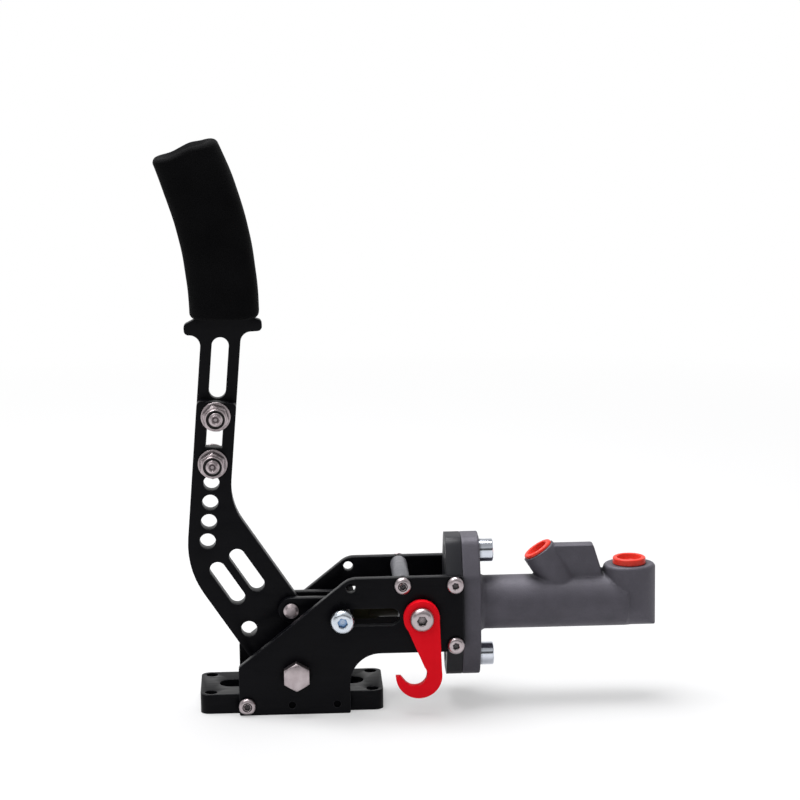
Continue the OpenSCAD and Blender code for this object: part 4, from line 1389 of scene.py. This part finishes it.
@dataclass(frozen=True)
class Casting:
    """The master cylinder's casting, with the soft corners and fillets of a sand mould."""

    node: str = "cylinder_body"
    skin_radius: float = 15.1 * MM
    skin_band: Pair = (0.3 * MM, 1.3 * MM)
    body_end: float = 189.4 * MM
    end_blend: float = 0.9 * MM
    boss_start: float = 174.0 * MM
    boss_blend: float = 3.0 * MM
    narrowing: float = 0.13
    grain: float = 0.62 * MM
    passes: int = 3
    relaxing: float = 0.5
    crease: float = 70.0

    def build(self, source: bpy.types.Object) -> bpy.types.Object:
        """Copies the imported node, lays an even skin over it and relaxes the skin.

        Args:
            source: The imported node's object.

        Returns:
            The casting's object.
        """
        obj = merged_copy(source, "cylinder_casting")
        skin = obj.modifiers.new("skin", "REMESH")
        set_values(skin, mode="VOXEL", voxel_size=self.grain, use_smooth_shade=True)
        relax = obj.modifiers.new("relax", "SMOOTH")
        set_values(relax, factor=self.relaxing, iterations=self.passes)
        apply_modifiers(obj, self.crease)
        self.narrow_boss(obj.data)
        return obj

    def narrow_boss(self, mesh: bpy.types.Mesh) -> None:
        """Narrows the outlet boss across the cylinder, so that the cylinder ends in a soft step.

        Each point's y shrinks by the narrowing where it stands off the cylinder's skin
        on the boss, or lies past the cylinder's end.

        Args:
            mesh: The casting's mesh.
        """
        flat = np.empty(len(mesh.vertices) * 3)
        mesh.vertices.foreach_get("co", flat)
        points = flat.reshape(-1, 3)
        x, y, z = points.T
        off_skin = smooth_step(*self.skin_band, np.hypot(y, z - AXIS_Z) - self.skin_radius)
        on_boss = smooth_step(self.boss_start, self.boss_start + self.boss_blend, x)
        past_end = smooth_step(self.body_end - self.end_blend, self.body_end + self.end_blend, x)
        points[:, 1] *= 1.0 - self.narrowing * np.maximum(on_boss * off_skin, past_end)
        mesh.vertices.foreach_set("co", points.ravel())
        mesh.update()


@dataclass(frozen=True)
class PhotoCamera:
    """The camera that was fitted to the photograph."""

    yaw: float = math.radians(2.565)
    pitch: float = math.radians(11.318)
    roll: float = math.radians(0.762)
    distance: float = 1584.53 * MM
    target: Point = (63.32 * MM, 0.0, 171.54 * MM)
    sensor: float = 36.0
    lens: float = 128.594
    reach: float = 100.0

    def build(self) -> None:
        """Places the camera and makes it the scene's own."""
        level = math.cos(self.pitch)
        forward = Vector((math.sin(self.yaw) * level, math.cos(self.yaw) * level, -math.sin(self.pitch)))
        right = Vector((math.cos(self.yaw), -math.sin(self.yaw), 0.0))
        up = right.cross(forward)
        side = math.cos(self.roll) * right - math.sin(self.roll) * up
        top = math.sin(self.roll) * right + math.cos(self.roll) * up
        data = bpy.data.cameras.new("photo_camera")
        set_values(data, sensor_fit="HORIZONTAL", sensor_width=self.sensor, lens=self.lens)
        data.clip_end = self.reach
        data.dof.use_dof = False
        camera = linked("photo_camera", data)
        turned = Matrix((side, top, -forward)).transposed().to_4x4()
        camera.matrix_world = Matrix.Translation(Vector(self.target) - forward * self.distance) @ turned
        bpy.context.scene.camera = camera


@dataclass(frozen=True)
class Lamp:
    """A square soft box that points at the part."""

    name: str
    place: Point
    size: float
    power: float

    def build(self, aim: Vector) -> None:
        """Hangs the lamp and turns it to the aim.

        Args:
            aim: The point that it lights.
        """
        data = bpy.data.lights.new(self.name, "AREA")
        set_values(data, size=self.size, energy=self.power)
        lamp = linked(self.name, data)
        lamp.location = self.place
        lamp.rotation_euler = (aim - Vector(self.place)).to_track_quat("-Z", "Y").to_euler()


def seen_directly(board: Board) -> Socket:
    """1 for rays from the camera and for mirrored or clear rays, and 0 for soft light.

    Args:
        board: The board that the nodes go on.

    Returns:
        The share.
    """
    path = board.add("ShaderNodeLightPath").outputs
    shiny = board.math("MAXIMUM", path["Is Glossy Ray"], path["Is Transmission Ray"])
    return board.math("MAXIMUM", path["Is Camera Ray"], shiny)


class SkyBoard(Board):
    """Adds and joins the nodes of the world."""

    def __init__(self, name: str) -> None:
        """Starts a world with one Background shader on its output.

        Args:
            name: Name of the world.
        """
        world = bpy.data.worlds.new(name)
        world.use_nodes = True
        bpy.context.scene.world = world
        self.tree = world.node_tree
        self.tree.nodes.clear()
        self.shader = self.add("ShaderNodeBackground")
        self.output = self.add("ShaderNodeOutputWorld")
        self.put(self.shader.outputs["Background"], self.output.inputs["Surface"])
        self.place = self.add("ShaderNodeTexCoord").outputs["Generated"]


@dataclass(frozen=True)
class Studio:
    """A pale floor, a soft sky and two soft boxes. The sky's bands are heights from -1 to 1."""

    floor_half: float = 40.0
    floor_colour: Colour = (0.54, 0.54, 0.547)
    floor_roughness: float = 0.9
    floor_gloss: float = 0.1
    near_glow: float = 0.4
    far_glow: float = 1.0
    glow_reach: Pair = (0.3, 1.1)
    soft_light: Pair = (0.2, 0.72)
    soft_band: Pair = (-0.05, 0.75)
    pale_light: Pair = (1.0, 0.45)
    pale_band: Pair = (0.15, 0.8)
    dark_room: float = 0.1
    room_front: Pair = (0.0, -0.45)
    room_skirting: Pair = (0.1, 0.18)
    room_lamps: Pair = (0.42, 0.6)
    aim: Point = (0.05, 0.0, 0.13)
    lamps: tuple[Lamp, ...] = (
        Lamp("overhead_box", (-0.2, 0.28, 1.45), size=1.0, power=37.0),
        Lamp("front_box", (-0.6, -1.0, 1.3), size=0.9, power=3.0),
    )

    def floor(self) -> None:
        """Lays the floor: part lit by the lamps and part its own white, more so far away."""
        half = self.floor_half
        corners = [(-half, -half, 0.0), (half, -half, 0.0), (half, half, 0.0), (-half, half, 0.0)]
        mesh = bpy.data.meshes.new("studio_floor")
        mesh.from_pydata(corners, [], [(0, 1, 2, 3)])
        obj = linked("studio_floor", mesh)
        board = Board("studio floor")
        board.paint(
            Base_Color=(*self.floor_colour, 1.0),
            Roughness=self.floor_roughness,
            Specular_IOR_Level=self.floor_gloss,
        )
        away = board.add("ShaderNodeVectorMath", {0: board.place}, operation="LENGTH")
        glow = board.span(away.outputs["Value"], self.glow_reach, (self.near_glow, self.far_glow))
        share = board.math("MULTIPLY", seen_directly(board), glow)
        white = board.add("ShaderNodeEmission").outputs["Emission"]
        mix = board.add("ShaderNodeMixShader", {"Fac": share, 1: board.shader.outputs["BSDF"], 2: white})
        board.put(mix.outputs["Shader"], board.output.inputs["Surface"])
        mesh.materials.append(board.material)

    def sky(self) -> None:
        """Lights the part from a sky that is dim at the horizon, and shows a pale background.

        Shiny faces also see the dark room behind the camera, from its lamps down to its skirting.
        """
        board = SkyBoard("studio_sky")
        parts = board.add("ShaderNodeSeparateXYZ", {"Vector": board.place}).outputs
        soft = board.span(parts["Z"], self.soft_band, self.soft_light)
        front = board.span(parts["Y"], self.room_front)
        above = board.span(parts["Z"], self.room_skirting)
        below = board.span(parts["Z"], self.room_lamps, (1.0, 0.0))
        room = board.math("MULTIPLY", front, board.math("MULTIPLY", above, below))
        open_sky = board.span(parts["Z"], self.pale_band, self.pale_light)
        pale = board.math("MULTIPLY", open_sky, board.span(room, (0.0, 1.0), (1.0, self.dark_room)))
        pick = board.add("ShaderNodeMix", {"Factor": seen_directly(board), "A": soft, "B": pale})
        board.paint(Color=(1.0, 1.0, 1.0, 1.0), Strength=pick.outputs["Result"])

    def build(self) -> None:
        """Sets the stage and the plain view of colours."""
        bpy.context.scene.view_settings.view_transform = "Standard"
        self.floor()
        self.sky()
        for lamp in self.lamps:
            lamp.build(Vector(self.aim))


def main() -> None:
    """Builds the scene in order."""
    logging.basicConfig(level=logging.INFO, format="%(name)s: %(message)s")
    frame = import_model()
    nodes = frame["nodes"]
    wardrobe = Wardrobe(frame["record"])
    wardrobe.dress_nodes(nodes)
    wardrobe.stand_in(FoamGrip().build(), "foam_grip")
    casting = Casting()
    wardrobe.stand_in(casting.build(nodes[casting.node]), casting.node)
    for part in EASED_PARTS:
        wardrobe.stand_in(part.build(nodes[part.node]), part.node)
    Plugs().build(wardrobe)
    Fasteners(wardrobe).build()
    spring = ReturnSpring()
    spring.shorten(wardrobe.stand_in(spring.build(), "return_spring"))
    PhotoCamera().build()
    Studio().build()


if __name__ == "__main__":
    main()
